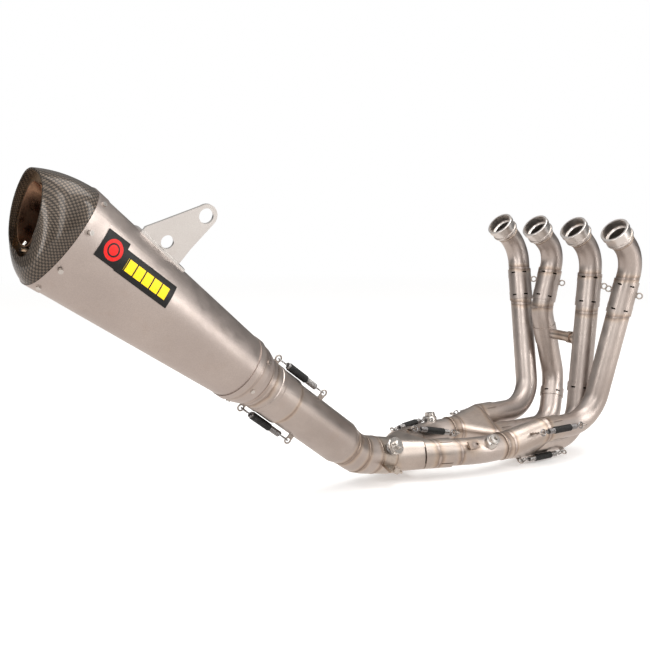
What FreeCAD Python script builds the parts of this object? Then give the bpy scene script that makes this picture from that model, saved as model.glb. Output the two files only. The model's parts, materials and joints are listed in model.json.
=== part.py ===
"""Racing exhaust system: a four-into-two-into-one manifold with an exhaust valve and a conical silencer.

Units are millimetres. The origin is the centre of the mouth of head socket 1. +X points towards the
front of the motorcycle, +Y towards its left side and +Z up. The four sockets stand in a row along -Y.
"""
import FreeCAD
import Part
import Sketcher
import math
import os

os.makedirs("parts", exist_ok=True)
Vector = FreeCAD.Vector
doc = FreeCAD.newDocument("racing_exhaust")

# ---------------------------------------------------------------- driving dimensions
DIMENSIONS = [
    ("port_pitch", 87.0, "distance between neighbouring exhaust ports"),
    ("port_tilt", 42.8, "angle of each port axis below the horizontal, degrees"),
    ("header_od", 38.0, "outside diameter of a header tube"),
    ("tube_wall", 1.2, "wall of every bent tube"),
    ("socket_rim_od", 48.0, "outside diameter of a head socket at its mouth"),
    ("socket_bore", 41.0, "bore that slides over the cylinder head spigot"),
    ("socket_depth", 14.0, "depth of that bore"),
    ("socket_length", 27.0, "whole length of a head socket"),
    ("running_gap", 0.05, "radial clearance of sliding and turning fits"),
    ("coupling_od", 40.4, "outside diameter of a slotted header coupling"),
    ("coupling_long", 56.0, "length of a slotted header coupling"),
    ("band_long", 15.0, "length of the raised slotted band at each end of a coupling"),
    ("band_od", 41.2, "outside diameter of that band"),
    ("slot_long", 8.0, "length of a weld slot"),
    ("slot_width", 2.6, "width of a weld slot"),
    ("sleeve_od", 41.6, "outside diameter of a collector slip sleeve"),
    ("secondary_od", 42.0, "outside diameter of a secondary tube"),
    ("valve_od", 52.0, "outside diameter of the funnel where it meets the valve"),
    ("bend_od", 58.0, "outside diameter of the link bend"),
    ("link_od", 66.0, "outside diameter of the straight link pipe"),
    ("slip_od", 72.0, "outside diameter of the silencer slip sleeve"),
    ("crossover_od", 17.0, "outside diameter of the balance tube between headers 2 and 3"),
    ("plug_thread", 12.0, "thread of a lambda sensor boss"),
    ("boss_od", 21.0, "outside diameter of a lambda sensor boss"),
    ("shaft_diameter", 8.0, "exhaust valve shaft"),
    ("flap_gap", 0.6, "gap between the closed flap and the valve bore"),
    ("silencer_rise", 36.6, "climb of the silencer axis, degrees"),
    ("silencer_flare", 6.0, "angle of the silencer axis away from the wheel, degrees"),
    ("silencer_roll", 15.0, "roll of the silencer section about its axis, degrees"),
    ("shell_wall", 1.2, "wall of the silencer sleeve"),
    ("carbon_wall", 2.0, "wall of the carbon end cap"),
    ("spring_od", 9.0, "outside diameter of a retaining spring"),
    ("spring_wire", 1.6, "wire of a retaining spring"),
    ("spring_reach", 86.0, "distance between the two hooks of a spring"),
    ("rubber_od", 11.4, "outside diameter of the rubber sleeve on a spring"),
    ("rubber_long", 38.0, "length of that rubber sleeve"),
    ("hook_wire", 2.4, "wire of the welded spring hooks"),
    ("hanger_thick", 4.0, "thickness of the hanger plate"),
    ("hanger_hole", 19.5, "hole for the rubber-bushed hanger bolt"),
    ("hanger_end", 30.0, "width of the rounded end of the hanger"),
    ("rivet_head", 6.0, "head of a band rivet"),
]

sheet = doc.addObject("Spreadsheet::Sheet", "Dimensions")
for row, (alias, value, meaning) in enumerate(DIMENSIONS, start=1):
    sheet.set("A%d" % row, meaning)
    sheet.set("B%d" % row, str(value))
    sheet.setAlias("B%d" % row, alias)
doc.recompute()


def dim(alias):
    """Value of a driving dimension, for working out positions."""
    return float(sheet.get(alias))


def sized(formula):
    """A formula with every driving dimension in it spelled as a cell of the sheet."""
    words = formula
    for alias, _, _ in sorted(DIMENSIONS, key=lambda entry: -len(entry[0])):
        words = words.replace(alias, "<<Dimensions>>." + alias)
    return words


def bind(thing, prop, formula):
    """Drive a property from a formula of the sheet's dimensions."""
    thing.setExpression(prop, sized(formula))


# ---------------------------------------------------------------- frames and directions
def unit(vector):
    result = Vector(vector)
    result.normalize()
    return result


def placed(origin, z_axis, x_hint=None):
    """Placement whose local Z is z_axis and whose local X leans towards x_hint."""
    z = unit(z_axis)
    hint = Vector(x_hint) if x_hint else Vector(0, 1, 0)
    x = hint - z * hint.dot(z)
    if x.Length < 1e-6:
        hint = Vector(1, 0, 0)
        x = hint - z * hint.dot(z)
    x.normalize()
    y = z.cross(x)
    matrix = FreeCAD.Matrix(
        x.x, y.x, z.x, origin.x,
        x.y, y.y, z.y, origin.y,
        x.z, y.z, z.z, origin.z,
        0, 0, 0, 1)
    return FreeCAD.Placement(matrix)


PITCH = dim("port_pitch")
ROW_MID = -1.5 * PITCH
TILT = math.radians(dim("port_tilt"))
MOUTH_OUT = Vector(-math.cos(TILT), 0, math.sin(TILT))
MOUTH_IN = MOUTH_OUT * -1
HEADER_R = dim("header_od") / 2
WALL = dim("tube_wall")
GAP = dim("running_gap")
PORT_Y = [-PITCH * index for index in range(4)]


def at(x, side, z):
    """A point given by its distance to the left of the middle of the port row."""
    return Vector(x, ROW_MID + side, z)


# ---------------------------------------------------------------- building blocks
def cylinder(name, placement, radius, height):
    body = doc.addObject("Part::Cylinder", name)
    bind(body, "Radius", radius)
    bind(body, "Height", height)
    body.Placement = placement
    return body


def box(name, placement, length, width, height, centred=True):
    """A block with its bottom face on the local XY plane, centred over the local origin."""
    body = doc.addObject("Part::Box", name)
    bind(body, "Length", length)
    bind(body, "Width", width)
    bind(body, "Height", height)
    doc.recompute([body])
    shift = Vector(-body.Length.Value / 2, -body.Width.Value / 2, 0) if centred else Vector()
    body.Placement = placement.multiply(FreeCAD.Placement(shift, FreeCAD.Rotation()))
    return body


def torus(name, placement, ring_radius, wire_radius):
    body = doc.addObject("Part::Torus", name)
    bind(body, "Radius1", ring_radius)
    bind(body, "Radius2", wire_radius)
    body.Placement = placement
    return body


def fuse(name, pieces):
    body = doc.addObject("Part::MultiFuse", name)
    body.Shapes = pieces
    return body


def cut(name, base, tool):
    body = doc.addObject("Part::Cut", name)
    body.Base = base
    body.Tool = tool
    return body


def group(name, pieces):
    body = doc.addObject("Part::Compound", name)
    body.Links = pieces
    return body


def lathe(name, profile, placement):
    """A turned body. The profile is a list of (radius, height) formulas round a closed section."""
    body = doc.addObject("PartDesign::Body", name)
    plane = [item for item in body.Origin.OriginFeatures if item.Role == "XZ_Plane"][0]
    sketch = body.newObject("Sketcher::SketchObject", name + "_section")
    sketch.AttachmentSupport = [(plane, "")]
    sketch.MapMode = "FlatFace"
    count = len(profile)
    # The outline starts as a regular polygon; the constraints below then pull it to its real shape.
    turn = 2 * math.pi / count
    rough = [Vector(50 + 20 * math.cos(turn * i), 50 + 20 * math.sin(turn * i), 0) for i in range(count)]
    for index in range(count):
        sketch.addGeometry(Part.LineSegment(rough[index], rough[(index + 1) % count]), False)
    for index in range(count):
        sketch.addConstraint(Sketcher.Constraint("Coincident", index, 2, (index + 1) % count, 1))
    for index, (radius, height) in enumerate(profile):
        for kind, label, start, formula in (
                ("DistanceX", "radius%d" % index, rough[index].x, radius),
                ("DistanceY", "height%d" % index, rough[index].y, height)):
            number = sketch.addConstraint(Sketcher.Constraint(kind, -1, 1, index, 1, start))
            sketch.renameConstraint(number, label)
            sketch.setExpression("Constraints." + label, sized(formula))
    turned = body.newObject("PartDesign::Revolution", name + "_turned")
    turned.Profile = sketch
    turned.ReferenceAxis = (sketch, ["V_Axis"])
    turned.Angle = 360
    body.Placement = placement
    return body


def bent_wire(points, radii):
    """Centreline of straight runs joined by tangent bends, one radius for each inner point."""
    edges = []
    run_start = points[0]
    for before, corner, after, radius in zip(points, points[1:], points[2:], radii):
        back = unit(before - corner)
        ahead = unit(after - corner)
        half = back.getAngle(ahead) / 2
        enter = corner + back * (radius / math.tan(half))
        leave = corner + ahead * (radius / math.tan(half))
        towards_centre = unit(back + ahead)
        centre = corner + towards_centre * (radius / math.sin(half))
        middle = centre - towards_centre * radius
        edges.append(Part.makeLine(run_start, enter))
        edges.append(Part.Arc(enter, middle, leave).toShape())
        run_start = leave
    edges.append(Part.makeLine(run_start, points[-1]))
    return Part.Wire(edges)


def bar(name, points, radii, radius):
    """A solid round bar along a bent centreline."""
    wire = bent_wire(points, radii)
    spine = doc.addObject("Part::Feature", name + "_centreline")
    spine.Shape = wire
    ring = doc.addObject("Part::Circle", name + "_ring")
    bind(ring, "Radius", radius)
    ring.Placement = placed(points[0], points[1] - points[0])
    sweep = doc.addObject("Part::Sweep", name)
    sweep.Sections = [ring]
    sweep.Spine = (spine, ["Edge%d" % (index + 1) for index in range(len(wire.Edges))])
    sweep.Solid = True
    sweep.Frenet = False
    return sweep


def tube(name, points, radii, outside, wall="tube_wall"):
    """A bent tube; returns the tube and the solid bar of its outside."""
    outer = bar(name + "_outside", points, radii, outside + " / 2")
    inner = bar(name + "_inside", points, radii, outside + " / 2 - " + wall)
    return cut(name, outer, inner), outer


def pipe(name, placement, outside, inside, length):
    """A straight ring or sleeve given by two diameters."""
    outer = cylinder(name + "_outside", placement, outside + " / 2", length)
    inner = cylinder(name + "_inside", placement, inside + " / 2", length)
    return cut(name, outer, inner)


# ---------------------------------------------------------------- retaining springs and their hooks
HOOK_WIRE = dim("hook_wire")
REACH = dim("spring_reach")
EYE = 5.0
STAPLE = 4.5
STAPLE_BACK = 7.0
COIL_START = 12.0


def helix_of_arcs(radius, pitch, turns, start_height):
    """Helix along +Z made of half turns, each a plane arc that meets the next one smoothly."""
    arcs = []
    side = 1
    height = start_height
    half_turn = math.hypot(radius, pitch / 4)
    for _ in range(2 * turns):
        start = Vector(side * radius, 0, height)
        middle = Vector(0, side * half_turn, height + pitch / 4)
        end = Vector(-side * radius, 0, height + pitch / 2)
        arcs.append(Part.Arc(start, middle, end).toShape())
        side = -side
        height += pitch / 2
    return Part.Wire(arcs)


def coiled(radius, pitch, turns, start_height, wire_radius):
    """Round wire wound into a coil along +Z."""
    start = Vector(radius, 0, start_height)
    section = Part.Wire([Part.makeCircle(wire_radius, start, Vector(0, 1, 0))])
    return helix_of_arcs(radius, pitch, turns, start_height).makePipeShell([section], True, False)


def spring_coil():
    """Coil of a retaining spring along +Z, between its two swivel hooks."""
    wire = dim("spring_wire")
    mean = dim("spring_od") / 2 - wire / 2
    pitch = wire * 1.25
    turns = int((REACH - 2 * COIL_START) / pitch)
    start_height = (REACH - turns * pitch) / 2
    return coiled(mean, pitch, turns, start_height, wire / 2)


coil_shape = spring_coil()


def retaining_spring(name, start, direction, outward):
    """Coil with a swivel hook at each end, reaching from start along direction."""
    frame = placed(start, direction, unit(direction).cross(outward))
    coil = doc.addObject("Part::Feature", name + "_coil")
    coil.Shape = coil_shape.copy()
    coil.Placement = frame
    pieces = [coil]
    for end, at_end, flip in (("near", 0, 0), ("far", REACH, 180)):
        turned = FreeCAD.Placement(Vector(0, 0, at_end), FreeCAD.Rotation(Vector(1, 0, 0), flip))
        base = frame.multiply(turned)
        eye_frame = base.multiply(FreeCAD.Placement(Vector(), FreeCAD.Rotation(Vector(1, 0, 0), 90)))
        eye = torus(name + "_eye_" + end, eye_frame, str(EYE), "hook_wire / 2 - 0.1")
        stem_frame = base.multiply(FreeCAD.Placement(Vector(0, 0, EYE), FreeCAD.Rotation()))
        stem = cylinder(name + "_stem_" + end, stem_frame, "hook_wire / 2 - 0.1", "15")
        knob_frame = base.multiply(FreeCAD.Placement(Vector(0, 0, EYE + 14), FreeCAD.Rotation()))
        knob = cylinder(name + "_knob_" + end, knob_frame, "spring_od / 2 - spring_wire - 0.3", "2.5")
        pieces.append(fuse(name + "_hook_" + end, [eye, stem, knob]))
    return pieces


def rubber_sleeve(name, start, direction):
    """Ribbed rubber sleeve round the middle of a spring."""
    frame = placed(start + unit(direction) * ((REACH - dim("rubber_long")) / 2), direction)
    barrel = pipe(name + "_barrel", frame, "rubber_od", "(spring_od + 0.3)", "rubber_long")
    return barrel


def staple(name, start, direction, outward, height, keep_out):
    """Wire eye on a short foot, welded to a tube just behind the end of a spring."""
    along = unit(direction)
    away = unit(outward)
    centre = start - along * STAPLE_BACK
    eye = torus(name + "_eye", placed(centre, along.cross(away), along), str(STAPLE), "hook_wire / 2")
    foot_base = centre - away * height
    foot = box(name + "_foot", placed(foot_base, away, along), "9", "hook_wire * 0.8",
               "%g" % (height - STAPLE + HOOK_WIRE / 3))
    return cut(name, fuse(name + "_solid", [eye, foot]), keep_out)


# ---------------------------------------------------------------- head sockets and headers
LEG_ONE = {1: 65.0, 2: 70.0, 3: 68.0, 4: 68.0}
SLEEVE_MOUTH_X = -80.0
HEADER_END_X = -111.0
RUNS = {
    # points below the first bend, then one bend radius for every corner
    1: ([at(12, 57, -328)], [55, 60]),
    2: ([at(24, 44, -150), at(62, 45.5, -275), at(27, 21, -355)], [45, 50, 55, 50]),
    3: ([at(6, -60, -354)], [55, 58]),
    4: ([at(0, -96, -321)], [55, 60]),
}
COUPLING_Z = {1: -112.0, 2: -106.0, 3: -107.0, 4: -112.0}

sockets = {}
header_tubes = {}
header_outsides = {}
couplings = {}
coupling_axis = {}
coupling_centre = {}

for number in range(1, 5):
    mouth = Vector(0, PORT_Y[number - 1], 0)
    down = placed(mouth, MOUTH_IN)
    sockets[number] = lathe("head_socket_%d" % number, [
        ("socket_bore / 2", "0"),
        ("socket_rim_od / 2 - 0.8", "0"),
        ("socket_rim_od / 2", "0.8"),
        ("socket_rim_od / 2", "7.2"),
        ("socket_rim_od / 2 - 2", "8.6"),
        ("socket_rim_od / 2 - 2", "18"),
        ("socket_rim_od / 2 - 0.6", "18"),
        ("socket_rim_od / 2 - 0.6", "20.6"),
        ("header_od / 2 + 0.6", "socket_length - 1.4"),
        ("header_od / 2 + 0.6", "socket_length"),
        ("header_od / 2 - tube_wall", "socket_length"),
        ("header_od / 2 - tube_wall", "socket_depth + 2"),
        ("socket_bore / 2 - 1", "socket_depth"),
        ("socket_bore / 2", "socket_depth"),
    ], down)

    lower, radii = RUNS[number]
    first_turn = mouth + MOUTH_IN * LEG_ONE[number]
    leg = unit(lower[0] - first_turn)
    centre = first_turn + leg * ((COUPLING_Z[number] - first_turn.z) / leg.z)
    coupling_axis[number] = leg
    coupling_centre[number] = centre
    upper_path = [mouth + MOUTH_IN * dim("socket_length"), first_turn, centre - leg * 0.5]
    run_end = Vector(HEADER_END_X, lower[-1].y, lower[-1].z)
    lower_path = [centre + leg * 0.5] + lower + [run_end]
    upper, upper_outside = tube("header_upper_%d" % number, upper_path, radii[:1], "header_od")
    bottom, bottom_outside = tube("header_lower_%d" % number, lower_path, radii[1:], "header_od")
    header_tubes[number] = group("header_tube_%d" % number, [upper, bottom])
    header_outsides[number] = bottom_outside


def slotted_sleeve(name, centre, axis, length, bands):
    """Sleeve that joins two tube ends, with raised bands of weld slots round it."""
    frame = placed(centre - axis * (length / 2), axis, Vector(0, -1, 0))
    shells = [cylinder(name + "_barrel", frame, "coupling_od / 2", "%g" % length)]
    slots = []
    band_long = dim("band_long")
    for index, band_start in enumerate(bands):
        band_at = frame.multiply(FreeCAD.Placement(Vector(0, 0, band_start), FreeCAD.Rotation()))
        shells.append(cylinder("%s_band_%d" % (name, index), band_at, "band_od / 2", "band_long"))
        for turn in range(6):
            spin = FreeCAD.Placement(Vector(0, 0, band_start + band_long / 2 - dim("slot_width") / 2),
                                     FreeCAD.Rotation(Vector(0, 0, 1), 60 * turn + 20))
            side = frame.multiply(spin).multiply(FreeCAD.Placement(Vector(dim("band_od") / 2, 0, 0),
                                                                  FreeCAD.Rotation()))
            slots.append(box("%s_slot_%d_%d" % (name, index, turn), side, "6", "slot_long", "slot_width"))
    bore = cylinder(name + "_bore", frame, "header_od / 2", "%g" % length)
    return cut(name, fuse(name + "_shell", shells), fuse(name + "_openings", [bore] + slots))


COUPLING_LONG = dim("coupling_long")
BAND_LONG = dim("band_long")
for number in range(1, 5):
    couplings[number] = slotted_sleeve(
        "coupling_%d" % number, coupling_centre[number], coupling_axis[number], COUPLING_LONG,
        [0, COUPLING_LONG - BAND_LONG])
LOW_BAND_Z = {2: -302.0, 3: -272.0}
low_bands = []
for number, low_z in LOW_BAND_Z.items():
    corners = [coupling_centre[number]] + RUNS[number][0]
    upper_corner, lower_corner = corners[-2], corners[-1]
    leg = unit(lower_corner - upper_corner)
    middle = upper_corner + leg * ((low_z - upper_corner.z) / leg.z)
    low_bands.append(slotted_sleeve("low_band_%d" % number, middle, leg, BAND_LONG, [0]))
group("header_coupling_1", [couplings[1]])
group("header_coupling_4", [couplings[4]])
group("header_couplings_inner", [couplings[2], couplings[3]] + low_bands)

# ---------------------------------------------------------------- balance tube between headers 2 and 3
def on_leg(start, end, z):
    """Point at height z on the straight line between two points."""
    return start + (end - start) * ((z - start.z) / (end.z - start.z))


CROSS_Z = -192.0
cross_left = on_leg(RUNS[2][0][0], RUNS[2][0][1], CROSS_Z)
cross_right = on_leg(coupling_centre[3], RUNS[3][0][0], CROSS_Z)
cross_axis = unit(cross_right - cross_left)
cross_span = (cross_right - cross_left).Length
saddle_axis = unit(RUNS[2][0][1] - RUNS[2][0][0])
saddle = pipe("balance_saddle", placed(cross_left - saddle_axis * 15, saddle_axis),
              "coupling_od", "header_od", "30")
patch_axis = coupling_axis[3]
patch_skin = pipe("balance_patch_skin", placed(cross_right - patch_axis * 20, patch_axis),
                  "coupling_od", "header_od", "40")
cross_frame = placed(cross_left, cross_axis)
half_span = "%g" % (cross_span / 2)
patch = doc.addObject("Part::MultiCommon", "balance_patch")
patch.Shapes = [patch_skin, cylinder("patch_rim", placed(cross_right, cross_axis * -1), "crossover_od / 2 + 6",
                                     half_span)]
balance_bar = cylinder("balance_bar", cross_frame, "crossover_od / 2", "%g" % cross_span)
balance_bore = cylinder("balance_bore", cross_frame, "crossover_od / 2 - tube_wall", "%g" % cross_span)
saddle_solid = cylinder("balance_saddle_solid", placed(cross_left - saddle_axis * 30, saddle_axis),
                        "coupling_od / 2", "60")
patch_solid = cylinder("balance_patch_solid", placed(cross_right - patch_axis * 30, patch_axis),
                       "coupling_od / 2", "60")
balance = cut("balance_tube", balance_bar,
              fuse("balance_cuts", [balance_bore, saddle_solid, patch_solid]))
collar_frame = placed(cross_left + cross_axis * (cross_span * 0.62), cross_axis)
balance_sleeve = pipe("balance_sleeve", collar_frame, "(crossover_od + 3.4)", "crossover_od", "9")
saddles = group("balance_saddles", [
    cut("balance_saddle_cut", saddle, cylinder("saddle_port", cross_frame, "crossover_od / 2 - tube_wall",
                                               "%g" % (cross_span / 2))),
    cut("balance_patch_cut", patch, cylinder("patch_port", placed(cross_right, cross_axis * -1),
                                             "crossover_od / 2 - tube_wall", half_span))])


# ---------------------------------------------------------------- two-into-one collectors
def lean_between(a, b):
    """Angle of the line from a to b as seen along X."""
    return math.atan2(b.z - a.z, b.y - a.y)


def oblong(a, b, radius, lean):
    """Oblong of two half circles and two straights round points a and b, in the plane across X."""
    def rim(centre, angle):
        return centre + Vector(0, math.cos(angle), math.sin(angle)) * radius
    edges = [
        Part.Arc(rim(a, lean + math.pi / 2), rim(a, lean + math.pi), rim(a, lean - math.pi / 2)).toShape(),
        Part.makeLine(rim(a, lean - math.pi / 2), rim(b, lean - math.pi / 2)),
        Part.Arc(rim(b, lean - math.pi / 2), rim(b, lean), rim(b, lean + math.pi / 2)).toShape(),
        Part.makeLine(rim(b, lean + math.pi / 2), rim(a, lean + math.pi / 2)),
    ]
    return Part.Wire(edges)


def split_circle(centre, axis, radius, lean, wide=75.0):
    """Circle in four arcs that face the four sides of an oblong."""
    frame = placed(centre, axis * -1, Vector(0, math.cos(lean), math.sin(lean)))
    if axis.x > 0:
        frame = placed(centre, axis, Vector(0, math.cos(lean), math.sin(lean)))
    marks = [180 - wide, 180, 180 + wide, 270, 360 - wide, 360, 360 + wide, 450]

    def rim(degrees):
        angle = math.radians(degrees)
        return frame.multVec(Vector(radius * math.cos(angle), radius * math.sin(angle), 0))
    edges = []
    for index in range(0, 8, 2):
        edges.append(Part.Arc(rim(marks[index]), rim(marks[index + 1]), rim(marks[(index + 2) % 8])).toShape())
    return Part.Wire(edges)


def loft(name, wires, ruled=True):
    sections = []
    for index, wire in enumerate(wires):
        section = doc.addObject("Part::Feature", "%s_section_%d" % (name, index))
        section.Shape = wire
        sections.append(section)
    body = doc.addObject("Part::Loft", name)
    body.Sections = sections
    body.Solid = True
    body.Ruled = ruled
    return body


X_BACK = Vector(-1, 0, 0)
MERGE_X = -178.0
SECONDARY_START = -180.0
COLLECTOR_END = -192.0
PIPE_R = dim("secondary_od") / 2
SLEEVE_R = dim("sleeve_od") / 2
MERGE_POINT = {"right": at(MERGE_X, -81, -339), "left": at(MERGE_X, 42, -339)}
INLETS = {"right": (4, 3), "left": (1, 2)}
collector_solids = {}
for side in ("left", "right"):
    upper_number, lower_number = INLETS[side]
    ends = [Vector(HEADER_END_X, RUNS[n][0][-1].y, RUNS[n][0][-1].z) for n in (upper_number, lower_number)]
    lean = lean_between(ends[0], ends[1])
    merge = MERGE_POINT[side]
    tag = "collector_" + side
    slot_cuts = []
    outsides = []
    bores = []
    for n, end in zip((upper_number, lower_number), ends):
        mouth_frame = placed(Vector(SLEEVE_MOUTH_X, end.y, end.z), X_BACK, Vector(0, 0, 1))
        outsides.append(cylinder("%s_sleeve_%d" % (tag, n), mouth_frame, "sleeve_od / 2",
                                 "%g" % (SLEEVE_MOUTH_X - HEADER_END_X)))
        bores.append(cylinder("%s_bore_%d" % (tag, n), mouth_frame, "header_od / 2 + running_gap",
                              "%g" % (SLEEVE_MOUTH_X - HEADER_END_X)))
        for turn in range(4):
            spin = mouth_frame.multiply(FreeCAD.Placement(Vector(), FreeCAD.Rotation(Vector(0, 0, 1), 90 * turn + 45)))
            edge = spin.multiply(FreeCAD.Placement(Vector(SLEEVE_R, 0, 0), FreeCAD.Rotation()))
            slot_cuts.append(box("%s_slit_%d_%d" % (tag, n, turn), edge, "7", "1.4", "22"))
    outer_rim = dim("secondary_od") / 2 + 1.2
    outsides.append(loft(tag + "_merge", [
        oblong(ends[0], ends[1], SLEEVE_R, lean),
        split_circle(merge, X_BACK, outer_rim, lean)]))
    bores.append(loft(tag + "_throat", [
        oblong(ends[0], ends[1], SLEEVE_R - WALL, lean),
        split_circle(merge, X_BACK, PIPE_R - WALL, lean)]))
    tail = placed(merge, X_BACK)
    outsides.append(cylinder(tag + "_tail", tail, "secondary_od / 2 + 1.2", "%g" % (MERGE_X - COLLECTOR_END)))
    bores.append(cylinder(tag + "_stop", tail, "secondary_od / 2 - tube_wall", "%g" % (MERGE_X - SECONDARY_START)))
    seat = placed(Vector(SECONDARY_START, merge.y, merge.z), X_BACK)
    bores.append(cylinder(tag + "_seat", seat, "secondary_od / 2", "%g" % (SECONDARY_START - COLLECTOR_END)))
    solid = fuse(tag + "_solid", outsides)
    collector_solids[side] = solid
    cut(tag, solid, fuse(tag + "_voids", bores + slot_cuts))

# ---------------------------------------------------------------- secondary tubes
ELBOW_X = -235.0
LINK_SLEEVE_X = -283.0
SECONDARY_END_X = -318.0
SPREAD = 32.0 / 95.0
secondary_axis = {}
secondary_end = {}
secondary_bars = {}
for side, sign in (("right", 1), ("left", -1)):
    merge = MERGE_POINT[side]
    start = Vector(SECONDARY_START, merge.y, merge.z)
    elbow = Vector(ELBOW_X, merge.y, merge.z)
    reach = ELBOW_X - SECONDARY_END_X
    end = elbow + Vector(-reach, sign * SPREAD * reach, 1)
    secondary_axis[side] = unit(end - elbow)
    secondary_end[side] = end
    _, outside = tube("secondary_blank_" + side, [start, elbow, end], [120], "secondary_od")
    secondary_bars[side] = outside
doc.recompute()

# lambda sensor bosses on the secondaries, each closed by a screw plug
BOSS_X = {"right": -226.0, "left": -228.0}
BOSS_DIRECTION = {"right": Vector(0, -math.cos(math.radians(42)), math.sin(math.radians(42))),
                  "left": Vector(0, math.cos(math.radians(80)), math.sin(math.radians(80)))}
bosses = []
plugs = []
for side in ("right", "left"):
    merge = MERGE_POINT[side]
    out = BOSS_DIRECTION[side]
    root = Vector(BOSS_X[side], merge.y, merge.z)
    stand = placed(root, out, Vector(1, 0, 0))
    blank = lathe("boss_blank_" + side, [
        ("plug_thread / 2", "secondary_od / 2 - 4"),
        ("boss_od / 2", "secondary_od / 2 - 4"),
        ("boss_od / 2", "secondary_od / 2 + 6"),
        ("boss_od / 2 - 3", "secondary_od / 2 + 9"),
        ("plug_thread / 2", "secondary_od / 2 + 9")], stand)
    bosses.append(cut("boss_" + side, blank, secondary_bars[side]))
    port = cylinder("sensor_port_" + side, stand, "plug_thread / 2", "secondary_od")
    cut("secondary_" + side, doc.getObject("secondary_blank_" + side), port)
    plugs.append(lathe("plug_" + side, [
        ("0", "secondary_od / 2 + 1"),
        ("plug_thread / 2", "secondary_od / 2 + 1"),
        ("plug_thread / 2", "secondary_od / 2 + 9"),
        ("plug_thread / 2 + 3", "secondary_od / 2 + 9"),
        ("plug_thread / 2 + 3", "secondary_od / 2 + 10.2"),
        ("plug_thread / 2 + 2", "secondary_od / 2 + 10.2"),
        ("plug_thread / 2 + 2", "secondary_od / 2 + 14"),
        ("3.2", "secondary_od / 2 + 14.6"),
        ("3.2", "secondary_od / 2 + 9"),
        ("0", "secondary_od / 2 + 8")], stand))
group("lambda_bosses", bosses)
group("lambda_plugs", plugs)

# small plate on a leg, welded to the right secondary to hold a cable or a guard
TAB_HIGH = math.radians(37)
tab_out = Vector(0, -math.cos(TAB_HIGH), math.sin(TAB_HIGH))
tab_centre = at(-258, -73.3, -339)
tab_frame = placed(tab_centre + tab_out * (PIPE_R + 3), tab_out, Vector(1, 0, 0))
tab_leg_frame = placed(tab_centre + tab_out * (PIPE_R - 3) - Vector(4, 0, 0), tab_out, Vector(1, 0, 0))
tab_hole_frame = tab_frame.multiply(FreeCAD.Placement(Vector(6, 0, -2), FreeCAD.Rotation()))
tab_blank = fuse("tab_solid", [box("tab_plate", tab_frame, "20", "13", "2.5"),
                               box("tab_leg", tab_leg_frame, "8", "3", "7")])
tab_hole = cylinder("tab_hole", tab_hole_frame, "2.1", "8")
cut("secondary_tab", tab_blank, fuse("tab_cuts", [tab_hole, secondary_bars["right"]]))

# ---------------------------------------------------------------- link: merge funnel, valve housing, pipe
VALVE_R = dim("valve_od") / 2
RISE = math.radians(dim("silencer_rise"))
FLARE = math.radians(dim("silencer_flare"))
ROLL = math.radians(dim("silencer_roll"))
AXIS = Vector(-math.cos(RISE) * math.cos(FLARE), -math.cos(RISE) * math.sin(FLARE), math.sin(RISE))
BEND = at(-433, -27, -326)
FUNNEL_END = at(-372, -19.5, -339.5)
VALVE_AXIS = unit(BEND - FUNNEL_END)
HOUSING = 33.0

funnel_parts = []
funnel_voids = []
funnel_slots = []
for side in ("right", "left"):
    line = secondary_axis[side]
    end = secondary_end[side]
    mouth = end - line * ((LINK_SLEEVE_X - SECONDARY_END_X) / -line.x)
    sleeve_frame = placed(mouth, line, Vector(0, 0, 1))
    length = (end - mouth).Length
    funnel_parts.append(cylinder("link_sleeve_" + side, sleeve_frame, "secondary_od / 2 + 1.8",
                                 "%g" % (length + 8)))
    funnel_voids.append(cylinder("link_bore_" + side, sleeve_frame, "secondary_od / 2 + running_gap",
                                 "%g" % (length + 0.5)))
    funnel_voids.append(cylinder("link_throat_" + side, sleeve_frame, "secondary_od / 2 - 1.4",
                                 "%g" % (length + 9)))
    for turn in range(4):
        spin = sleeve_frame.multiply(FreeCAD.Placement(Vector(), FreeCAD.Rotation(Vector(0, 0, 1), 90 * turn + 60)))
        edge = spin.multiply(FreeCAD.Placement(Vector(PIPE_R + 1, 0, 0), FreeCAD.Rotation()))
        funnel_slots.append(box("link_slit_%s_%d" % (side, turn), edge, "8", "1.6", "20"))
RIGHT_END = secondary_end["right"]
LEFT_END = secondary_end["left"]
FUNNEL_R = PIPE_R + 2.0
funnel_outside = loft("funnel_outside", [
    oblong(LEFT_END, RIGHT_END, FUNNEL_R, math.pi),
    split_circle(FUNNEL_END, VALVE_AXIS, VALVE_R, math.pi)])
funnel_voids.append(loft("funnel_inside", [
    oblong(LEFT_END, RIGHT_END, FUNNEL_R - 3.4, math.pi),
    split_circle(FUNNEL_END, VALVE_AXIS, VALVE_R - WALL, math.pi)]))
funnel_solid = fuse("funnel_solid", [funnel_outside] + funnel_parts)
link_collector = cut("link_collector", funnel_solid, fuse("funnel_voids", funnel_voids + funnel_slots))
# The seams between loft and sleeves are nearly tangent, so their faces stay as they are cut.
for body in (funnel_solid, link_collector):
    body.Refine = False

# exhaust valve: housing, shaft, flap, pulley, return spring and cable bracket
level = unit(VALVE_AXIS.cross(Vector(0, 0, 1)))
if level.y > 0:
    level = level * -1
upright = unit(level.cross(VALVE_AXIS))
if upright.z < 0:
    upright = upright * -1


def around_link(degrees):
    """Direction across the link pipe: 0 points level to the right side, 90 up."""
    angle = math.radians(degrees)
    return level * math.cos(angle) + upright * math.sin(angle)


SHAFT_DIR = around_link(32)
valve_centre = FUNNEL_END + VALVE_AXIS * (HOUSING / 2)
housing_frame = placed(FUNNEL_END, VALVE_AXIS, SHAFT_DIR)
shaft_frame = placed(valve_centre, SHAFT_DIR, VALVE_AXIS)


def on_shaft(distance):
    return shaft_frame.multiply(FreeCAD.Placement(Vector(0, 0, distance), FreeCAD.Rotation()))


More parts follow.
